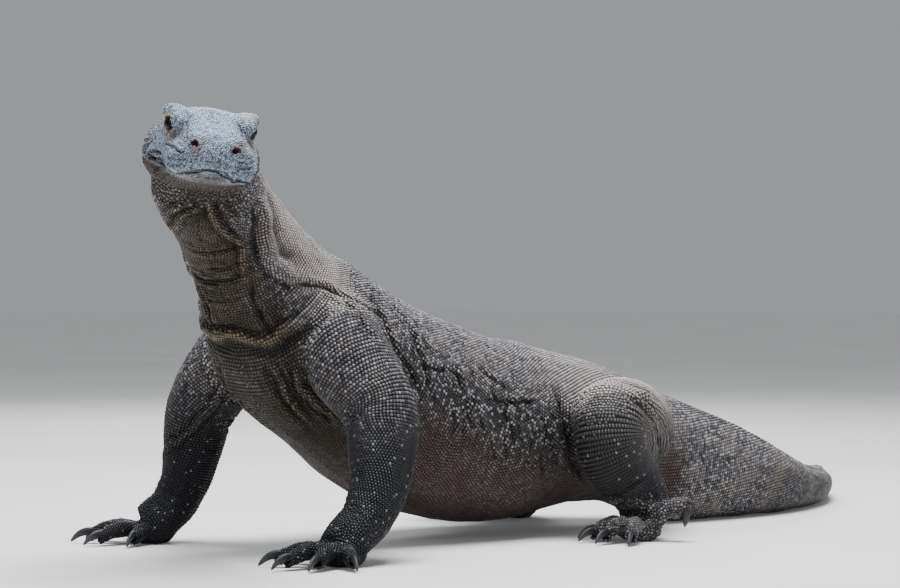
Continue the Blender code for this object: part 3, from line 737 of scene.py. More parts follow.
# %% The lids
EYE_TURN = {"left": Vector((.58, .80, -.10)).normalized(), "right": Vector((.58, -.80, -.10)).normalized()}
OPENING = (math.radians(62), math.radians(52))  # half the open eye's width and height, from the eye's middle
lid = np.zeros(len(form))
for name, middle in EYES.items():
    out = (form - np.array(middle)) @ np.array(head_turn)
    distance = np.linalg.norm(out, axis=1)
    near = np.flatnonzero(distance < 0.017)
    distance = distance[near]
    ray = out[near] / distance[:, None]
    gaze = np.array(EYE_TURN[name])
    along = np.cross((0, 0, 1), gaze)
    along /= np.linalg.norm(along)
    above = np.cross(gaze, along)
    off = np.arccos(np.clip(ray @ gaze, -1, 1))  # how far from the gaze, in radians
    flat = np.maximum(np.hypot(ray @ along, ray @ above), 1e-6)
    across, height = off * (ray @ along) / flat, off * (ray @ above) / flat
    slant = 0.10 if name == "right" else -0.10
    oval = np.hypot(across / OPENING[0], (height + slant * across) / OPENING[1])
    shell = EYE_RADIUS + LIDS + 0.0012 * bump(oval - 1.18, 0.14) - 0.0008 * bump(oval - 1.50, 0.12)
    hold = (1 - ramp(off, 1.25, 1.75)) * (1 - ramp(distance, 0.012, 0.017))
    # Inside the opening the skin goes behind the eyeball's surface; round it the skin hugs the ball.
    target = np.where(oval < 1.0, EYE_RADIUS - 0.0016, distance + (shell - distance) * hold)
    form[near] = np.array(middle) + (ray * target[:, None]) @ np.array(head_turn).T
    bare[near[oval < 1.32]] = 1
    lid[near[oval < 1.6]] = 1
    # The skin inside the eye's opening is painted dark: painted shade.
    crest[near[oval < 1.06]] = -1
form[:, 2] = np.maximum(form[:, 2], 0.0)
place_points(skin, form)
normals = normals_of(skin)
print("lid points:", int(lid.sum()))

# %% [markdown]
# ## Where the scales stand
#
# The scales of a monitor lie in rings round the body, each row half a scale out of step with the one before.
# So from the line down the middle of the trunk rays are thrown out in rings, and each ring is walked from
# the middle of the back in even steps. The legs and toes have rings of their own. What the rings don't
# reach, the head, the palms and the places where a leg joins the body, is filled with scales thrown down at
# random that keep their distance from each other. Two rounds of pushing apart make those more even.

# %% Tools for rings of scales
faces = [list(face.vertices) for face in skin.polygons]
surface = BVHTree.FromPolygons([Vector(p) for p in form], faces)
first_corner = np.array([face[0] for face in faces])
stood = {"place": [], "along": [], "pitch": []}  # every scale that has been placed
print("rays meet a skin of", len(faces), "faces")


def thrown(track, station, angles, reach=0.4):
    """Where rays thrown out from a track at these angles leave the skin, and which point of it is near."""
    middle = Vector(track.at(station))
    aside, above = Vector(track.at(station, track.side)), Vector(track.at(station, track.up))
    hits = []
    for angle in angles:
        out = aside * math.sin(angle) + above * math.cos(angle)
        place, _, face, gap = surface.ray_cast(middle, out, reach)
        hits.append((np.array(place), first_corner[face], gap) if place is not None else (None, -1, 0.0))
    return hits


def ring_of_scales(track, station, pitch, allowed, odd, coarse, limit):
    """Walks one ring from the middle of the back down both sides and stands scales at even steps."""
    hits = thrown(track, station, coarse, limit)
    good = np.array([hit[1] >= 0 and allowed[hit[1]] for hit in hits])
    if good.sum() < 4:
        return
    reach = np.array([hit[2] for hit in hits])
    reach = np.interp(coarse, coarse[good], reach[good], period=2 * math.pi)
    reach = np.append(reach, reach[0])
    turned = np.append(coarse, coarse[0] + 2 * math.pi)
    path = np.stack([reach * np.sin(turned), reach * np.cos(turned)], axis=1)
    walked = np.concatenate([[0], np.cumsum(np.linalg.norm(np.diff(path, axis=0), axis=1))])
    back = np.interp(0.0, turned, walked)
    steps = back + pitch * (np.arange(-260, 261) + 0.5 * odd)
    steps = steps[(steps > 0) & (steps < walked[-1] - 0.5 * pitch)]
    angles = np.interp(steps, walked, turned)
    ahead = track.at(station, track.ahead)
    for place, corner, gap in thrown(track, station, angles, limit):
        if corner >= 0 and allowed[corner] and not bare[corner]:
            stood["place"].append(place)
            stood["along"].append(ahead)
            stood["pitch"].append(pitch)


def rings(track, start, stop, pitch_at, allowed, rays=64, spread=0.88, limit=0.4):
    """Rings of scales from one station of a track to another."""
    before = len(stood["place"])
    station, odd = start, 0
    coarse = np.linspace(-math.pi, math.pi, rays, endpoint=False)
    while station < stop:
        pitch = pitch_at(station)
        ring_of_scales(track, station, pitch, allowed, odd, coarse, limit)
        station += pitch * spread
        odd = 1 - odd
    return len(stood["place"]) - before


# %% Rings round the trunk, the tail and the legs
def trunk_pitch(station):
    """How far apart the scales stand along the spine."""
    return np.interp(station, (0, .2, .35, .9, 1.3, 1.8, 2.1),
                     (.0036, .0038, .0041, .0044, .0042, .0036, .0029))


COARSER = 1.0
count = rings(spine, 0.03, spine.length - 0.002, lambda s: COARSER * trunk_pitch(s),
              on_nodes(belongs, *TRUNK))
print("the trunk and tail have", count, "scales in rings")
LEG_NODES = {"arm_left": ("upper_arm_left", "forearm_left"),
             "arm_right": ("upper_arm_right", "forearm_right"),
             "leg_left": ("thigh_left", "shin_left"), "leg_right": ("thigh_right", "shin_right")}
for name, track in limbs.items():
    count = rings(track, 0.02, track.length - 0.012,
                  lambda s: COARSER * (0.0045 - 0.0008 * s / track.length),
                  on_nodes(belongs, *LEG_NODES[name]))
    print(name, "has", count)

# %% Rings round the toes
def foot_of(claw_name):
    """claw_hand_left_1 is on hand_left."""
    return claw_name[5:-2]


toes = {}
for name in sorted(nodes):
    if name.startswith("claw_"):
        part = foot_of(name)
        palm = np.array((*PALMS[part], 0.020)) + np.array(SHIFT) * (1, 1, 0)
        corners = points_of(nodes[name].data)
        gaps = np.linalg.norm(corners - palm, axis=1)
        tip = corners[gaps.argmax() if name != RAISED_CLAW else corners[:, 2].argmin()]
        from_tip = np.linalg.norm(corners - tip, axis=1)
        root = corners[from_tip > from_tip.max() - 0.004].mean(axis=0)
        toes[name] = (palm, root, tip)
for name, (palm, root, tip) in toes.items():
    arch = (palm + root) / 2 + (0, 0, 0.004)
    track = Track([Vector(p) - SHIFT for p in (palm, arch, root)], step=0.001)
    rings(track, 0.020, track.length + 0.0005, lambda s: COARSER * 0.0034,
          on_nodes(belongs, foot_of(name)), rays=36, spread=0.80, limit=0.016)
CROWDED = 0.62  # closer than this share of its pitch, a later scale gives way
crowd = tree_of(stood["place"])
kept = [k for k, place in enumerate(stood["place"])
        if not any(other < k for _, other, _ in crowd.find_range(place, CROWDED * stood["pitch"][k]))]
for key in ("place", "along", "pitch"):
    stood[key] = [stood[key][k] for k in kept]
print("toes are ringed; scales so far:", len(kept), "once those that crowd others are gone")


# %% Which way a scale points, and how big it is, anywhere on the skin
toe_lines = {part: [toe[:2] for name, toe in toes.items() if foot_of(name) == part] for part in PALMS}


def directions(points, numbers):
    """The way towards the tail or the claws at each point."""
    ahead = spine.ahead[spine.nearest(points)]
    for name, track in limbs.items():
        mine = on_nodes(numbers, *LEG_NODES[name])
        if mine.any():
            ahead[mine] = track.ahead[track.nearest(points[mine])]
    for part, lines in toe_lines.items():
        mine = np.flatnonzero(on_nodes(numbers, part))
        if len(mine):
            best = np.full(len(mine), 9.0)
            for start, stop in lines:
                line = stop - start
                share = np.clip((points[mine] - start) @ line / (line @ line), 0, 1)
                gap = np.linalg.norm(points[mine] - start - share[:, None] * line, axis=1)
                ahead[mine[gap < best]] = line / np.linalg.norm(line)
                best = np.minimum(best, gap)
    mine = on_nodes(numbers, *SKULL)
    ahead[mine] = -np.array(head_turn)[:, 0]
    return ahead


def pitches(points, numbers):
    """How far apart scales that aren't in rings stand: finest round the eyes and the mouth."""
    pitch = trunk_pitch(spine.run[spine.nearest(points)])
    pitch[on_nodes(numbers, *LIMB)] = 0.0041
    pitch[on_nodes(numbers, *FEET)] = 0.0033
    place = head_places(points)
    skull = on_nodes(numbers, *SKULL)
    f, l, u = place.T
    mouth_gap = abs(u - mouth_height(place))
    finest = np.ones(len(points))
    for eye in EYES.values():
        gap = np.linalg.norm(points - np.array(eye), axis=1)
        finest = np.minimum(finest, 0.66 + 0.34 * ramp(gap, 0.011, 0.018))
    finest = np.minimum(finest, 0.74 + 0.26 * ramp(mouth_gap, 0.004, 0.012))
    size = (0.0022 + 0.0003 * ramp(u, 0.02, 0.035) + 0.0012 * ramp(-u, 0.02, 0.04)
            + 0.0012 * ramp(-f, -0.06, -0.01))
    return np.where(skull, size * finest, pitch) * COARSER


print("toe lines:", {part: len(lines) for part, lines in toe_lines.items()})


# %% Fill what the rings left
ROOM = 0.86  # a free scale needs this share of its pitch to itself
rng = np.random.default_rng(7)
held = tree_of(stood["place"])
on_feet = np.flatnonzero(on_nodes(belongs, *FEET)[first_corner])
centres = np.array([form[faces[k]].mean(axis=0) for k in on_feet])
spots = np.concatenate([form, centres])  # the feet need more places to choose from
owner = np.concatenate([np.arange(len(form)), first_corner[on_feet]])
wanted = pitches(spots, belongs[owner])
order = rng.permutation(np.flatnonzero(bare[owner] < 0.5))
open_spots = [k for k in order if (held.find(spots[k])[2] or 9) > ROOM * wanted[k]]
CELL = 0.009  # scales are kept in cells of this size, so that only near ones are compared
grid_cells = {}
ringed_count = len(stood["place"])
filled = []
for k in open_spots:
    spot, keep = spots[k], ROOM * wanted[k]
    cell = tuple(np.floor(spot / CELL).astype(int))
    crowd = [p for a in (-1, 0, 1) for b in (-1, 0, 1) for c in (-1, 0, 1)
             for p in grid_cells.get((cell[0] + a, cell[1] + b, cell[2] + c), ())]
    if crowd and (((np.array(crowd) - spot)**2).sum(axis=1) < keep * keep).any():
        continue
    grid_cells.setdefault(cell, []).append(spot)
    filled.append(k)
stood["place"] += list(spots[filled])
stood["along"] += list(directions(spots[filled], belongs[owner[filled]]))
stood["pitch"] += list(wanted[filled])
place, along, pitch = (np.array(stood[name]) for name in ("place", "along", "pitch"))
free = np.arange(len(place)) >= ringed_count
print(ringed_count, "scales stand in rings and", len(filled), "fill the rest")

# %% Push the free ones apart until they are even
def neighbours(points, number):
    """The numbers of the nearest other points to each point."""
    tree = tree_of(points)
    near = np.zeros((len(points), number), int)
    for k, point in enumerate(points):
        near[k] = [item[1] for item in tree.find_n(point, number + 1)][1:]
    return near


for step in range(2):
    near = neighbours(place, 7)
    out = place[:, None] - place[near]
    gap = np.linalg.norm(out, axis=2) + 1e-9
    force = np.clip(1.08 * pitch[:, None] - gap, 0, None) / gap * 0.5
    push = (out * force[:, :, None]).sum(axis=1) * 0.5
    size = np.linalg.norm(push, axis=1, keepdims=True)
    push *= np.minimum(1, 0.3 * pitch[:, None] / (size + 1e-9)) * np.where(free, 1.0, 0.25)[:, None]
    place = np.array([surface.find_nearest(spot)[0] for spot in place + push])
hits = [surface.find_nearest(spot) for spot in place]
corner = np.array([first_corner[hit[2]] for hit in hits])
keep = bare[corner] < 0.5
place, along, pitch, corner = place[keep], along[keep], pitch[keep], corner[keep]
number = belongs[corner]
print(len(place), "scales are placed")

# %% [markdown]
# ## The shape of a scale
#
# Each scale is a low dome on a six-sided foot. The foot reaches half way to each neighbour, so that the
# scales fit each other like paving whatever their pattern, and a thin line of dark skin is left between
# them. It is made as a joined mesh straight from rows of numbers: an operator for each of more than
# seventy thousand scales would take far too long. Scales on the back of the tail stand up as keels.

# %% The outline of each scale
SIDES = 6
near = neighbours(place, 8)
normal = normals[corner]
along = along - (along * normal).sum(axis=1, keepdims=True) * normal
along /= np.linalg.norm(along, axis=1, keepdims=True)
across = np.cross(normal, along)
beside = place[near] - place[:, None]
flat = np.stack([(beside * along[:, None]).sum(axis=2), (beside * across[:, None]).sum(axis=2)], axis=2)
gap = np.linalg.norm(flat, axis=2) + 1e-9
bearing = np.arctan2(flat[:, :, 1], flat[:, :, 0])
spoke = 2 * math.pi * np.arange(SIDES) / SIDES
toward = np.cos(spoke[None, None] - bearing[:, :, None])
limit = np.where(toward > 0.25, gap[:, :, None] / (2 * np.maximum(toward, 0.25)), 9.0).min(axis=1)
radius = np.clip(limit, 0.30 * pitch[:, None], 0.86 * pitch[:, None])
radius = 0.80 * radius + 0.20 * radius.mean(axis=1, keepdims=True)
lot = np.random.default_rng(11).random(len(place))
flat_run, flat_turn = round_spine(place)
skull = on_nodes(number, *SKULL)
on_tail = on_nodes(number, "tail")
underneath = ramp(-normal[:, 2], 0.3, 0.8)
height = pitch * np.where(skull, 0.22, 0.32) * (0.85 + 0.3 * lot)
height *= 1 - 0.5 * skull * bump(head_places(place)[:, 2] - mouth_height(head_places(place)), 0.006)
height *= 1 - 0.45 * underneath * on_nodes(number, *TRUNK)
keels = on_tail * bump(abs(flat_turn) - keel_angle(flat_run), 7) * (1 - ramp(flat_run, 1.9, 2.1))
height *= 1 + 0.7 * keels
mean_radius = 1000 * radius.mean(axis=1)
print("scale radii", mean_radius.min().round(2), "to", mean_radius.max().round(2), "mm")

# %% Where an unwrap of the skin puts each scale
PARTS = {"scales_head": SKULL, "scales_neck": ("neck",), "scales_chest": ("chest",),
         "scales_belly": ("belly",), "scales_pelvis": ("pelvis",), "scales_tail_root": ("tail_root",),
         "scales_tail_middle": ("tail_middle",), "scales_tail_end": ("tail_end", "tail_tip"),
         "scales_arm_left": ("upper_arm_left", "forearm_left", "hand_left"),
         "scales_arm_right": ("upper_arm_right", "forearm_right", "hand_right"),
         "scales_leg_left": ("thigh_left", "shin_left", "foot_left"),
         "scales_leg_right": ("thigh_right", "shin_right", "foot_right")}
PATCH = 0.003  # how wide one scale is in the unwrap, which runs from 0 to 1


def unwrapped(name, points):
    """A place from 0 to 1 each way for points of one part, walked along and round its own line."""
    if name == "scales_head":
        f, l, u = head_places(points).T
        first, second = f, np.arctan2(l, u)
    else:
        key = name.replace("scales_", "")
        track = limbs.get(key, spine)
        closest = track.nearest(points)
        out = points - track.points[closest]
        first = track.run[closest] + (out * track.ahead[closest]).sum(axis=1)
        second = np.arctan2((out * track.side[closest]).sum(axis=1), (out * track.up[closest]).sum(axis=1))
    both = np.stack([first, second], axis=1)
    return 0.01 + 0.98 * (both - both.min(axis=0)) / np.ptp(both, axis=0)


print("the coat is made in", len(PARTS), "pieces")


# %% Colour fields, the same for the skin and for the scales on it
def markings(points, numbers, folds):
    """Where each colour of the hide lies, from 0 to 1."""
    station, angle = round_spine(points)
    places = head_places(points)
    f, l, u = places.T
    skull = on_nodes(numbers, *SKULL).astype(float)
    blur = 0.25 * wander(points, 0.03, 21)  # makes the edges of the regions ragged
    above_mouth = u - mouth_height(places)
    pale = skull * ramp(above_mouth + 0.004 * wander(points, 0.008, 22), -0.006, 0.003)
    pale *= 0.35 + 0.65 * ramp(f, 0.0, 0.12)

    def blot(f, l, u, width):
        """1 at a place on the head and on its mirror image."""
        folded = np.abs(places * (0, 1, 0)) + places * (1, 0, 1)
        return np.exp(-(((folded - (f, l, u)) / width)**2).sum(axis=1))

    tan = 0.45 * blot(.190, 0, .001, (.012, .012, .0055)) + blot(.183, .0205, .0175, (.009, .0075, .008))
    tan = tan + blot(.124, .042, .016, (.014, .010, .010)) + 0.6 * blot(.150, .032, .026, (.030, .005, .009))
    tan = skull * np.clip(tan, 0, 1)
    # The hollow behind the roll of the lip, and the cheek behind that, are painted darker: painted shade.
    folds = folds - skull * (0.9 * blot(.108, .050, -.013, (.016, .012, .0065))
                             + 0.7 * blot(.080, .054, -.012, (.018, .012, .009)))
    # The throat colour runs under the jaw and neck on to the chest. It is painted darker than its own
    # olive brown, as painted shade under the body.
    under = ramp(abs(angle), 122, 146)
    front = 1 - ramp(station + 0.02 * blur, 0.36, 0.50)
    neck = on_nodes(numbers, "neck", "chest").astype(float)
    throat = np.clip(neck * under * front + skull * ramp(-above_mouth, 0.004, 0.010), 0, 1)
    # The belly starts at the middle of the flank, with a dusky band along its upper edge.
    trunk = on_nodes(numbers, "chest", "belly", "pelvis").astype(float)
    belly = trunk * ramp(abs(angle) + 14 * blur, 84, 116) * ramp(station, 0.36, 0.46)
    dusk = trunk * bump(abs(angle) + 10 * blur - 92, 17)
    dusk = dusk * ramp(station, 0.34, 0.42) * (1 - ramp(station, 0.66, 0.74))
    legs = on_nodes(numbers, "upper", "forearm", "hand", "thigh", "shin") + 0.35 * on_nodes(numbers, "foot")
    low = 1 - ramp(points[:, 2] + 0.02 * blur, 0.10, 0.22)  # legs darken towards the ground
    tail = on_nodes(numbers, "tail").astype(float)
    # A reddish patch lies behind the left thigh.
    vent = bump(np.linalg.norm(points - np.array(from_spine(0.925, 100)), axis=1), 0.030)
    brow = np.zeros(len(points))
    for name, eye in EYES.items():
        gap = np.linalg.norm(points - np.array(eye), axis=1)
        brow = np.maximum(brow, 1 - ramp(gap + 0.003 * blur, 0.0125, 0.0175))
    # The sides of the neck, the left hip and the tops of the thighs are painted paler: painted light.
    hip = np.linalg.norm(points - np.array(from_spine(0.76, 62)), axis=1)
    rubbed = neck * bump(abs(angle) - 72, 34) * ramp(station, 0.04, 0.12) * (1 - ramp(station, 0.24, 0.34))
    rubbed += bump(hip, 0.09) + on_nodes(numbers, "thigh") * ramp(points[:, 2], 0.13, 0.21)
    rubbed = np.clip(rubbed, 0, 1)
    bands = tail * ramp(np.sin(station * 62 + 0.6 * wander(points, 0.04, 23)), 0.35, 0.9)
    seam = np.where(skull * (f > 0.052) > 0, np.clip(above_mouth / 0.008, -1, 1), 1.0)
    leg = legs * (0.35 + 0.65 * low) + 0.5 * tail * ramp(abs(angle), 45, 85) * ramp(station, 1.0, 1.2)
    return {"seam": seam, "pale": pale, "tan": tan, "throat": throat * (0.85 + blur),
            "belly": np.clip(belly + 0.9 * vent, 0, 1), "dusk": dusk, "leg": leg, "lids": brow * skull,
            "rubbed": rubbed, "bands": bands, "fold": np.clip(folds, -1, 1)}


skin_marks = markings(form, belongs, crest)
print({name: float(values.mean().round(3)) for name, values in skin_marks.items()})


# %% Build the coat
def give_values(mesh, name, values):
    layer = mesh.attributes.new(name, "FLOAT", "POINT")
    layer.data.foreach_set("value", np.asarray(values, np.float32))


scale_marks = {name: values[corner] for name, values in skin_marks.items()}
RINGS = ((0.99, -0.09), (0.80, 0.70))  # share of the radius, and of the height
FOOT_SUNK = 0.0005  # how far the foot of a scale reaches into the skin


def coat_piece(name, mine):
    """One joined mesh of domes for the scales in mine."""
    count = len(mine)
    c, n, a, b = place[mine], normal[mine], along[mine], across[mine]
    r, h = radius[mine], height[mine]
    reach = np.cos(spoke)[None, :, None] * a[:, None] + np.sin(spoke)[None, :, None] * b[:, None]
    keel = 0.45 * keels[mine][:, None] * abs(np.sin(spoke))[None]
    layers, rise = [], []
    for share, level in RINGS:
        spread = r * share * (1 - keel * max(level, 0))
        lift_by = np.where(level < 0, -FOOT_SUNK, level * h)
        layers.append(c[:, None] + reach * spread[:, :, None] + (n * lift_by[:, None])[:, None])
        rise.append(np.full((count, SIDES), max(level, 0.0)))
    top = c + n * h[:, None] + a * (0.12 * r.mean(axis=1))[:, None]
    points = np.concatenate(layers + [top[:, None]], axis=1)
    rise = np.concatenate(rise + [np.ones((count, 1))], axis=1)
    points[:, :, 2] = np.maximum(points[:, :, 2], 0.0)
    per = points.shape[1]
    ring = np.arange(SIDES)
    follow = (ring + 1) % SIDES
    quads = np.concatenate([np.stack([ring + s * SIDES, follow + s * SIDES, follow + (s + 1) * SIDES,
                                      ring + (s + 1) * SIDES], axis=1) for s in range(len(RINGS) - 1)])
    last = (len(RINGS) - 1) * SIDES
    caps = np.stack([ring + last, follow + last, np.full(SIDES, per - 1)], axis=1)
    starts = (np.arange(count) * per)[:, None, None]
    loops = np.concatenate([(quads[None] + starts).reshape(count, -1),
                            (caps[None] + starts).reshape(count, -1)], axis=1).ravel()
    sizes = np.tile(np.concatenate([np.full(len(quads), 4), np.full(len(caps), 3)]), count)
    mesh = bpy.data.meshes.new(name)
    mesh.vertices.add(count * per)
    mesh.vertices.foreach_set("co", points.ravel())
    mesh.loops.add(len(loops))
    mesh.loops.foreach_set("vertex_index", loops)
    mesh.polygons.add(len(sizes))
    mesh.polygons.foreach_set("loop_start", np.concatenate([[0], np.cumsum(sizes)[:-1]]))
    shade_smooth(mesh)
    mesh.update(calc_edges=True)
    give_values(mesh, "rise", rise.ravel())
    give_values(mesh, "lot", np.repeat(lot[mine], per))
    for key, values in scale_marks.items():
        give_values(mesh, key, np.repeat(values[mine], per))
    root = unwrapped(name, c)
    within = np.concatenate([np.stack([np.cos(spoke), np.sin(spoke)], axis=1) * share for share, _ in RINGS]
                            + [np.zeros((1, 2))])
    patch = root[:, None] + within[None] * PATCH / 2
    layer = mesh.uv_layers.new(name="OFBake")
    layer.data.foreach_set("uv", patch.reshape(-1, 2)[loops].ravel())
    return add_piece(name, mesh)


coat = []
for name, members in PARTS.items():
    mine = np.flatnonzero(on_nodes(number, *members))
    made = coat_piece(name, mine)
    made.data.calc_loop_triangles()
    coat.append(made)
    print(name, len(mine), "scales,", len(made.data.loop_triangles), "triangles")
print("the coat has", sum(len(piece.data.loop_triangles) for piece in coat), "triangles")

# %% [markdown]
# ## The skin itself
#
# Under the coat the skin only shows between scales and round the eyes, mouth, nostrils and ears, so it
# is thinned by joining points that lie flat. It keeps the same colour fields as the scales.

# %% Thin the skin
SKIN_TRIANGLES = 188000
for key, values in skin_marks.items():
    give_values(skin, key, values)
give_values(skin, "rise", np.maximum(0.62 * lid, lip_skin))
give_values(skin, "lot", np.full(len(form), 0.5))
shade_smooth(skin)
triangles = sum(len(face.vertices) - 2 for face in skin.polygons)
hide = add_piece("skin", applied(add_piece("thick_skin", skin),
                                 DECIMATE={"ratio": min(1.0, SKIN_TRIANGLES / triangles)}))
hide.data.calc_loop_triangles()
print("the skin went from", triangles, "to", len(hide.data.loop_triangles), "triangles")


# %% [markdown]
# ## Finishes
#
# Every finish is a small net of nodes. To keep the sums readable, a value that comes out of a node is held
# in a wrapper that knows how to add, subtract and multiply, so that a formula in Python becomes the nodes
# that work it out.

# %% Shader sums as Python sums
class Value:
    """A socket of a finish, with the operators that the finishes use."""

    def __init__(self, finish, socket):
        self.finish, self.socket = finish, socket

    def sum(self, operation, *values, clamp=False):
        return self.finish.node("Math", {"operation": operation, "use_clamp": clamp},
                                dict(enumerate(values)))

    def __add__(self, other):
        return self.sum("ADD", self, other)

    def __sub__(self, other):
        return self.sum("SUBTRACT", self, other)

    def __rsub__(self, other):
        return self.sum("SUBTRACT", other, self)

    def __mul__(self, other):
        return self.sum("MULTIPLY", self, other)

    __radd__, __rmul__ = __add__, __mul__

    def between(self, low, high):
        """From 0 at low to 1 at high, with soft ends."""
        return self.finish.node("MapRange", {"interpolation_type": "SMOOTHSTEP"},
                                {"Value": self, "From Min": low, "From Max": high})

    def clamped(self):
        return self.sum("ADD", self, 0.0, clamp=True)


class Finish:
    """A material in the making."""

    def __init__(self, name, **constants):
        self.material = bpy.data.materials.new(name)
        self.material.use_nodes = True
        self.tree = self.material.node_tree
        self.shader = self.tree.nodes["Principled BSDF"]
        for socket, value in constants.items():
            self.shader.inputs[socket.replace("_", " ")].default_value = value

    def feed(self, socket, value):
        if isinstance(value, Value):
            self.tree.links.new(value.socket, socket)
        else:
            socket.default_value = value

    def node(self, kind, settings=None, inputs=None, output=0):
        """Adds a node: its type, its settings, what its sockets get, and which of its outputs is wanted."""
        made = self.tree.nodes.new("ShaderNode" + kind)
        for name, value in (settings or {}).items():
            setattr(made, name, value)
        for name, value in (inputs or {}).items():
            self.feed(made.inputs[name], value)
        return Value(self, made.outputs[output])

    def field(self, name):
        return self.node("Attribute", {"attribute_name": name}, output="Fac")

    def place(self):
        return self.node("TexCoord", output="Object")

    def noise(self, size, detail=3.0, rough=0.55, vector=None):
        """Noise about 0.5 with features of this size in metres."""
        return self.node("TexNoise", None, {"Vector": vector or self.place(), "Scale": 1 / size,
                                            "Detail": detail, "Roughness": rough})

    def mix(self, share, first, second, blend="MIX"):
        """One colour turning into another."""
        return self.node("Mix", {"data_type": "RGBA", "blend_type": blend},
                         {0: share, 6: first, 7: second}, output=2)

    def bump(self, height, strength, distance, below=None):
        inputs = {"Height": height, "Strength": strength, "Distance": distance}
        if below is not None:
            inputs["Normal"] = below
        return self.node("Bump", None, inputs)

    def done(self, **links):
        for socket, value in links.items():
            self.feed(self.shader.inputs[socket.replace("_", " ")], value)
        return self.material


def colour(red, green, blue):
    """A colour as it looks on a screen, from 0 to 255, made linear for the shader."""
    return tuple(((v / 255 + 0.055) / 1.055)**2.4 if v > 10 else v / 255 / 12.92
                 for v in (red, green, blue)) + (1,)


print("to a shader a middling grey is", round(colour(128, 128, 128)[0], 3))


# %% [markdown]
# The hide is dark grey-brown. Each scale is painted lighter and slightly pink on its top, a painted
# highlight, and darker towards its foot as painted shade; the skin between them is nearly black, partly its
# own colour and partly painted shade, which gives the net that is seen from afar. Over that lie the animal's
# own
# markings: a pale blue-grey face, an olive throat and yellowish chest, a reddish lower flank, blue-black
# forelegs, and faint pale bands on the tail. The throat and chest are painted darker than their own colour as
# painted shade, and the sides of the neck, the left hip and the tops of the thighs are painted paler as
# painted light. Folds are painted paler along their backs and dark in their grooves, where the dark is
# painted shade with some dirt.

# %% The hide
def hide_finish(name, is_scale):
    """The finish of the scales, or of the skin between them. rise is 0 at a scale's foot and 1 on its top."""
    made = Finish(name, Specular_IOR_Level=0.55)
    rise, lot = made.field("rise"), made.field("lot")  # lot is drawn by chance, one for each scale
    patchy = made.noise(0.035, 4)
    speck = made.noise(0.0060, 3)
    fleck = made.noise(0.0026, 3)
    fine = made.noise(0.0011, 4)
    # The back: dark and light scales by chance, one in five lighter still, with faint brown patches.
    hide = made.mix((patchy * 0.9 + lot * 0.9 - 0.38).clamped(), colour(62, 60, 66), colour(182, 178, 184))
    hide = made.mix((lot - 0.80).between(0.0, 0.14) * 0.5, hide, colour(212, 208, 206))
    hide = made.mix((patchy - 0.46).between(0.0, 0.16) * 0.30, hide, colour(150, 122, 104))
    # The legs are blue-black with a few pale scales.
    legs = made.mix((lot - 0.95).between(0.0, 0.04) * 0.55, colour(34, 35, 44), colour(168, 168, 170))
    hide = made.mix((made.field("leg") * (0.72 + patchy * 0.6)).clamped(), hide, legs)
    # Painted light: the sides of the neck, the left hip and the tops of the thighs are mixed towards a pale
    # colour.
    hide = made.mix(made.field("rubbed") * 0.72, hide, colour(222, 210, 204))
    hide = made.mix((made.field("belly") * (0.45 + patchy * 0.7)).clamped(), hide, colour(94, 72, 65))
    # The throat and chest are olive brown, painted darker still as painted shade under the jaw and body.
    # The band above the belly is dark with some pale scales.
    chest = made.mix(speck.between(0.38, 0.66), colour(48, 38, 30), colour(90, 74, 54))
    dusk = made.mix((lot - 0.66).between(0.0, 0.14) * 0.9, colour(58, 57, 62), colour(176, 174, 180))
    hide = made.mix(made.field("dusk") * (0.55 + patchy * 0.7), hide, dusk)
    hide = made.mix(made.field("throat").clamped(), hide, chest)
    # The face is pale blue with a darker blue-grey grain.
    grain = (fleck.between(0.36, 0.62) * 0.7 + lot * 0.45 + speck.between(0.36, 0.62) * 0.25 - 0.15).clamped()
    face = made.mix(grain, colour(70, 82, 102), colour(208, 227, 248))
    pale = (made.field("pale") * (0.70 + patchy * 0.5)).clamped()
    hide = made.mix(pale, hide, face)
    hide = made.mix(made.field("tan") * (0.50 + patchy * 0.6), hide, colour(136, 110, 98))
    hide = made.mix(made.field("bands") * patchy.between(0.35, 0.6) * 0.4, hide, colour(170, 160, 138))
    hide = made.mix(made.field("lids") * (0.45 + fleck * 0.6), hide, colour(196, 182, 136))
    # Backs of folds are painted paler, and grooves are painted dark: painted shade, with some dirt.
    fold = made.field("fold")
    worn = 0.26 + made.field("throat") * 0.22 - made.field("leg") * 0.18
    back = made.mix(made.field("throat"), colour(172, 166, 160), colour(182, 164, 132))
    hide = made.mix(fold.between(0.15, 0.9) * worn, hide, back)
    dark = made.mix(made.field("tan").between(0.15, 0.5), colour(18, 15, 14), colour(96, 52, 46))
    hide = made.mix((0 - fold).between(0.1, 0.9) * 0.8, hide, dark)
    # The mouth is a thin dark seam, painted shade in the crease where the lips meet, which is where
    # the seam field passes through 0.
    seam = made.field("seam")
    parted = 1 - (seam * seam).between(0.002, 0.014)
    hide = made.mix(parted, hide, colour(16, 12, 12))
    # Each scale is painted darker towards its foot and lighter on its top: painted shade and a painted
    # highlight. The skin between scales is nearly black, partly its own colour and partly painted shade,
    # less so on the pale face.
    dim = 0.11 + pale * 0.30 + made.field("tan") * 0.15 + made.field("lids") * 0.4
    depth = dim + (1 - dim) * (rise * (0.30 + rise * 0.70) if is_scale else rise * 0.8)
    shade = made.node("CombineColor", None, {0: depth, 1: depth, 2: depth})
    hide = made.mix(1.0, hide, shade, "MULTIPLY")
    hide = made.mix(fine.between(0.40, 0.75) * 0.25, hide, colour(30, 28, 28))
    rough = (0.28 + fine * 0.22 + (1 - rise) * 0.2).clamped()
    relief = made.bump(fine, 0.5, 0.0004)
    relief = made.bump(speck, 0.35, 0.0008, relief)
    relief = made.bump(1 - parted, 0.8, 0.0012, relief)
    return made.done(Base_Color=hide, Roughness=rough, Normal=relief)


def paint(pieces, material):
    for piece in pieces:
        piece.data.materials.append(material)


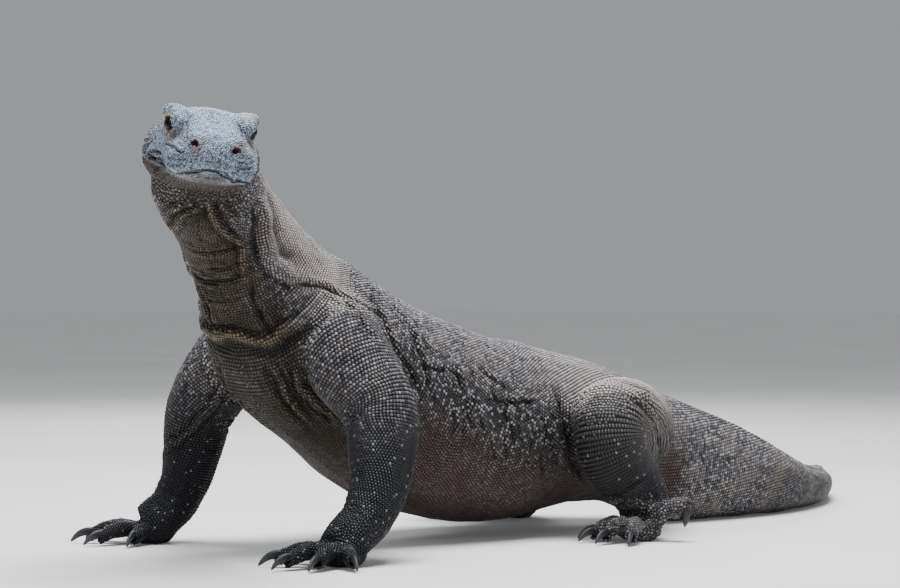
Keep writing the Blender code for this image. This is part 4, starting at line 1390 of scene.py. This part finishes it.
scale_finish = hide_finish("scale", True)
skin_finish = hide_finish("hide", False)
paint(coat, scale_finish)
hide.data.materials.clear()
paint([hide], skin_finish)
print("finishes:", [material.name for material in (scale_finish, skin_finish)])

# %% [markdown]
# ## Eyes
#
# Each eyeball is a sphere whose pole looks along the gaze, so that its rings of points are rings of the iris.
# A low swelling over the iris is the cornea, and it catches the light. The CAD's plain balls are replaced.

# %% Eyeballs
CORNEA_RISE, CORNEA_REACH = 0.055, 0.85  # share of the radius, and radians from the middle of the iris


def eyeball(name, middle, gaze):
    """A ball looking along its gaze; off_axis is 0 in the middle of the iris and 1 at the back."""
    bm = bmesh.new()
    bmesh.ops.create_uvsphere(bm, u_segments=48, v_segments=32, radius=EYE_RADIUS)
    spin = Vector((0, 0, 1)).rotation_difference(head_turn @ gaze).to_matrix().to_4x4()
    off_axis = []
    for vert in bm.verts:
        off = math.acos(max(-1, min(1, vert.co.z / EYE_RADIUS)))
        off_axis.append(off / math.pi)
        vert.co *= 1 + CORNEA_RISE * max(0, 1 - (off / CORNEA_REACH)**2)
    bmesh.ops.transform(bm, matrix=Matrix.Translation(middle) @ spin, verts=bm.verts)
    mesh = mesh_from(bm, name)
    give_values(mesh, "off_axis", off_axis)
    shade_smooth(mesh)
    return add_piece(name, mesh)


eyeballs = {side: eyeball("eyeball_" + side, EYES[side], EYE_TURN[side]) for side in EYES}


def eye_finish():
    made = Finish("wet_eye", Coat_Roughness=0.03, Roughness=0.35, Coat_IOR=1.35, Specular_IOR_Level=0.1)
    off = made.field("off_axis")
    streaks = made.noise(0.0009, 4)
    iris = made.mix(streaks.between(0.35, 0.7), colour(16, 11, 8), colour(44, 30, 19))
    iris = made.mix(off.between(0.145, 0.185), iris, colour(20, 14, 12))
    ball = made.mix(off.between(0.20, 0.24), iris, colour(24, 18, 16))
    ball = made.mix(1 - off.between(0.070, 0.085), ball, colour(3, 3, 4))
    return made.done(Base_Color=ball, Coat_Weight=0.6 - off.between(0.4, 0.6) * 0.4)


paint(eyeballs.values(), eye_finish())
print("eyeballs:", [len(piece.data.vertices) for piece in eyeballs.values()])

# %% [markdown]
# ## Claws
#
# A claw is a curved horn, deeper than it is wide, with a blunt worn tip and fine grooves along it. Each is a
# ring of points carried along an arc from the CAD claw's root to its tip and narrowed on the way. The five of
# one foot are one piece.

# %% Claws
CLAW_STEPS, CLAW_SIDES, CLAW_RADIUS = 14, 14, 0.0050
SUNK, ARCH = 0.16, 0.17  # how far it reaches into the toe and how high it arches, as shares of its length
BREADTH, DEPTH_ABOVE = 0.80, 1.22  # shares of the radius
WORN_SHORT = 0.72  # the claw of the raised toe is worn and thicker


def claw(bm, root, tip, worn=1.0):
    """Adds one claw, worn down to a share of its length, and returns how far along it each point is."""
    root, tip = Vector(root), Vector(tip)
    tip = root.lerp(tip, worn)
    start = root - (tip - root) * SUNK
    line = tip - start
    aside = line.cross(Vector((0, 0, 1))).normalized()
    arch = aside.cross(line).normalized() * line.length * ARCH
    rings, shares = [], []
    for step in range(CLAW_STEPS + 1):
        share = step / CLAW_STEPS
        middle = start.lerp(tip, share) + arch * math.sin(math.pi * share**0.9)
        ahead = line + arch * math.pi * math.cos(math.pi * share)
        upward = aside.cross(ahead).normalized()
        wide = CLAW_RADIUS * (1.9 - 0.9 * worn) * (1 - share)**0.55 + 0.0003
        ring = bmesh.ops.create_circle(bm, segments=CLAW_SIDES, radius=1)["verts"]
        for k, vert in enumerate(ring):
            angle = 2 * math.pi * k / CLAW_SIDES
            deep = DEPTH_ABOVE if math.sin(angle) > 0 else 1.0
            vert.co = (middle + aside * (wide * BREADTH * math.cos(angle))
                       + upward * (wide * deep * math.sin(angle)))
        rings.append(list({edge for vert in ring for edge in vert.link_edges}))
        shares += [share] * CLAW_SIDES
    for one, other in zip(rings, rings[1:]):
        bmesh.ops.bridge_loops(bm, edges=one + other)
    for end in (rings[0], rings[-1]):
        bmesh.ops.contextual_create(bm, geom=end)
    return shares


claw_pieces = {}
for part in PALMS:
    bm = bmesh.new()
    shares = []
    for name, (palm, root, tip) in toes.items():
        if foot_of(name) == part:
            shares += claw(bm, root, tip, WORN_SHORT if name == RAISED_CLAW else 1.0)
    bmesh.ops.recalc_face_normals(bm, faces=bm.faces)
    mesh = mesh_from(bm, "claws_" + part)
    give_values(mesh, "along_claw", shares)
    shade_smooth(mesh)
    claw_pieces[part] = add_piece("claws_" + part, mesh)


def claw_finish():
    made = Finish("claw_horn", Specular_IOR_Level=0.5)
    share = made.field("along_claw")
    grime = made.noise(0.0035, 4)
    fine = made.noise(0.0007, 3)
    horn = made.mix(share.between(0.15, 0.95), colour(40, 41, 45), colour(74, 76, 80))
    horn = made.mix(grime.between(0.45, 0.7) * 0.5, horn, colour(44, 38, 34))
    horn = made.mix((1 - share.between(0.10, 0.26)) * 0.6, horn, colour(34, 30, 28))
    return made.done(Base_Color=horn, Roughness=(0.34 + grime * 0.3).clamped(),
                     Normal=made.bump(fine + grime * 0.5, 0.4, 0.0004))


paint(claw_pieces.values(), claw_finish())
print("claws:", {part: len(piece.data.vertices) for part, piece in claw_pieces.items()})


# %% [markdown]
# ## The studio
#
# A long lens far away keeps the proportions honest. It stands a little above the floor, level with the
# animal's neck, and looks at it from its front left. The light is that of a bright overcast day: one very
# large soft lamp overhead does nearly all of it, with a weak one from behind and a faint one from the
# camera's left, over a pale floor. Such light shows each scale by its shaded underside, helped by painted
# shade at the foot of each scale, and leaves the throat and belly dark; the throat and chest are also
# painted darker, as painted shade under the jaw and body.

# %% Camera
SENSOR, LENS = 36, 111  # millimetres
FROM_EYES, LOOKS = Vector((2.251, -1.894, -0.174)), Vector((-0.7071, 0.7071, -0.0007))
camera_place = EYE_MIDDLE + FROM_EYES
camera_data = bpy.data.cameras.new("camera")
camera_data.sensor_width, camera_data.lens = SENSOR, LENS
camera = bpy.data.objects.new("camera", camera_data)
camera.location = camera_place
camera.rotation_euler = LOOKS.to_track_quat("-Z", "Y").to_euler()
bpy.context.scene.collection.objects.link(camera)
bpy.context.scene.camera = camera
print("the camera is", round((camera_place - EYE_MIDDLE).length, 2), "m from the eyes")


# %% Lamps and sky
SKY = (0.80, 0.83, 0.86, 1)


def lamp(name, place, target, size, power, colour=(1, 1, 1)):
    data = bpy.data.lights.new(name, "AREA")
    data.shape, data.size, data.energy, data.color = "DISK", size, power, colour
    made = bpy.data.objects.new(name, data)
    made.location = place
    made.rotation_euler = (Vector(target) - Vector(place)).to_track_quat("-Z", "Y").to_euler()
    bpy.context.scene.collection.objects.link(made)
    return made


lamp("overhead", (0.5, -0.3, 3.2), (0.05, -0.1, 0.2), 2.0, 150, (0.96, 0.98, 1.0))
lamp("front_left", (1.2, -3.4, 1.9), (0.2, -0.4, 0.3), 1.6, 16)
lamp("behind", (-2.4, 1.8, 2.2), (0, 0.2, 0.2), 1.4, 40, (0.95, 0.98, 1.0))
world = bpy.data.worlds.new("sky")
world.use_nodes = True
world.node_tree.nodes["Background"].inputs["Color"].default_value = SKY
world.node_tree.nodes["Background"].inputs["Strength"].default_value = 0.38
bpy.context.scene.world = world
bpy.context.scene.view_settings.look = "AgX - Medium High Contrast"
print("three lamps and a pale sky")


# %% Floor
FLOOR_REACH = 30


def floor_finish():
    made = Finish("pale_floor", Roughness=0.85, Specular_IOR_Level=0.2, Emission_Strength=0.08,
                  Emission_Color=SKY)  # a faint glow, so that it meets the sky with no line
    mottle = made.noise(0.6, 3)
    pale = made.mix(mottle.between(0.3, 0.7), colour(222, 220, 217), colour(228, 226, 223))
    return made.done(Base_Color=pale)


bm = bmesh.new()
bmesh.ops.create_grid(bm, x_segments=1, y_segments=1, size=FLOOR_REACH)
floor_mesh = mesh_from(bm, "floor")
floor = add_piece("floor", floor_mesh)
paint([floor], floor_finish())
print("the floor is", round(floor.dimensions.x), "m wide")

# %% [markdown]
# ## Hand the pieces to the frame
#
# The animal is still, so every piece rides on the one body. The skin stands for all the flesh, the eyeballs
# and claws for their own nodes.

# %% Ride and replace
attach(hide, "root")
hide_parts(*flesh_nodes)
for piece in coat:
    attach(piece, "root")
for side_name, piece in eyeballs.items():
    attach(piece, "root")
    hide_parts("eye_" + side_name)
for part, piece in claw_pieces.items():
    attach(piece, "root")
    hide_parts(*[name for name in toes if foot_of(name) == part])
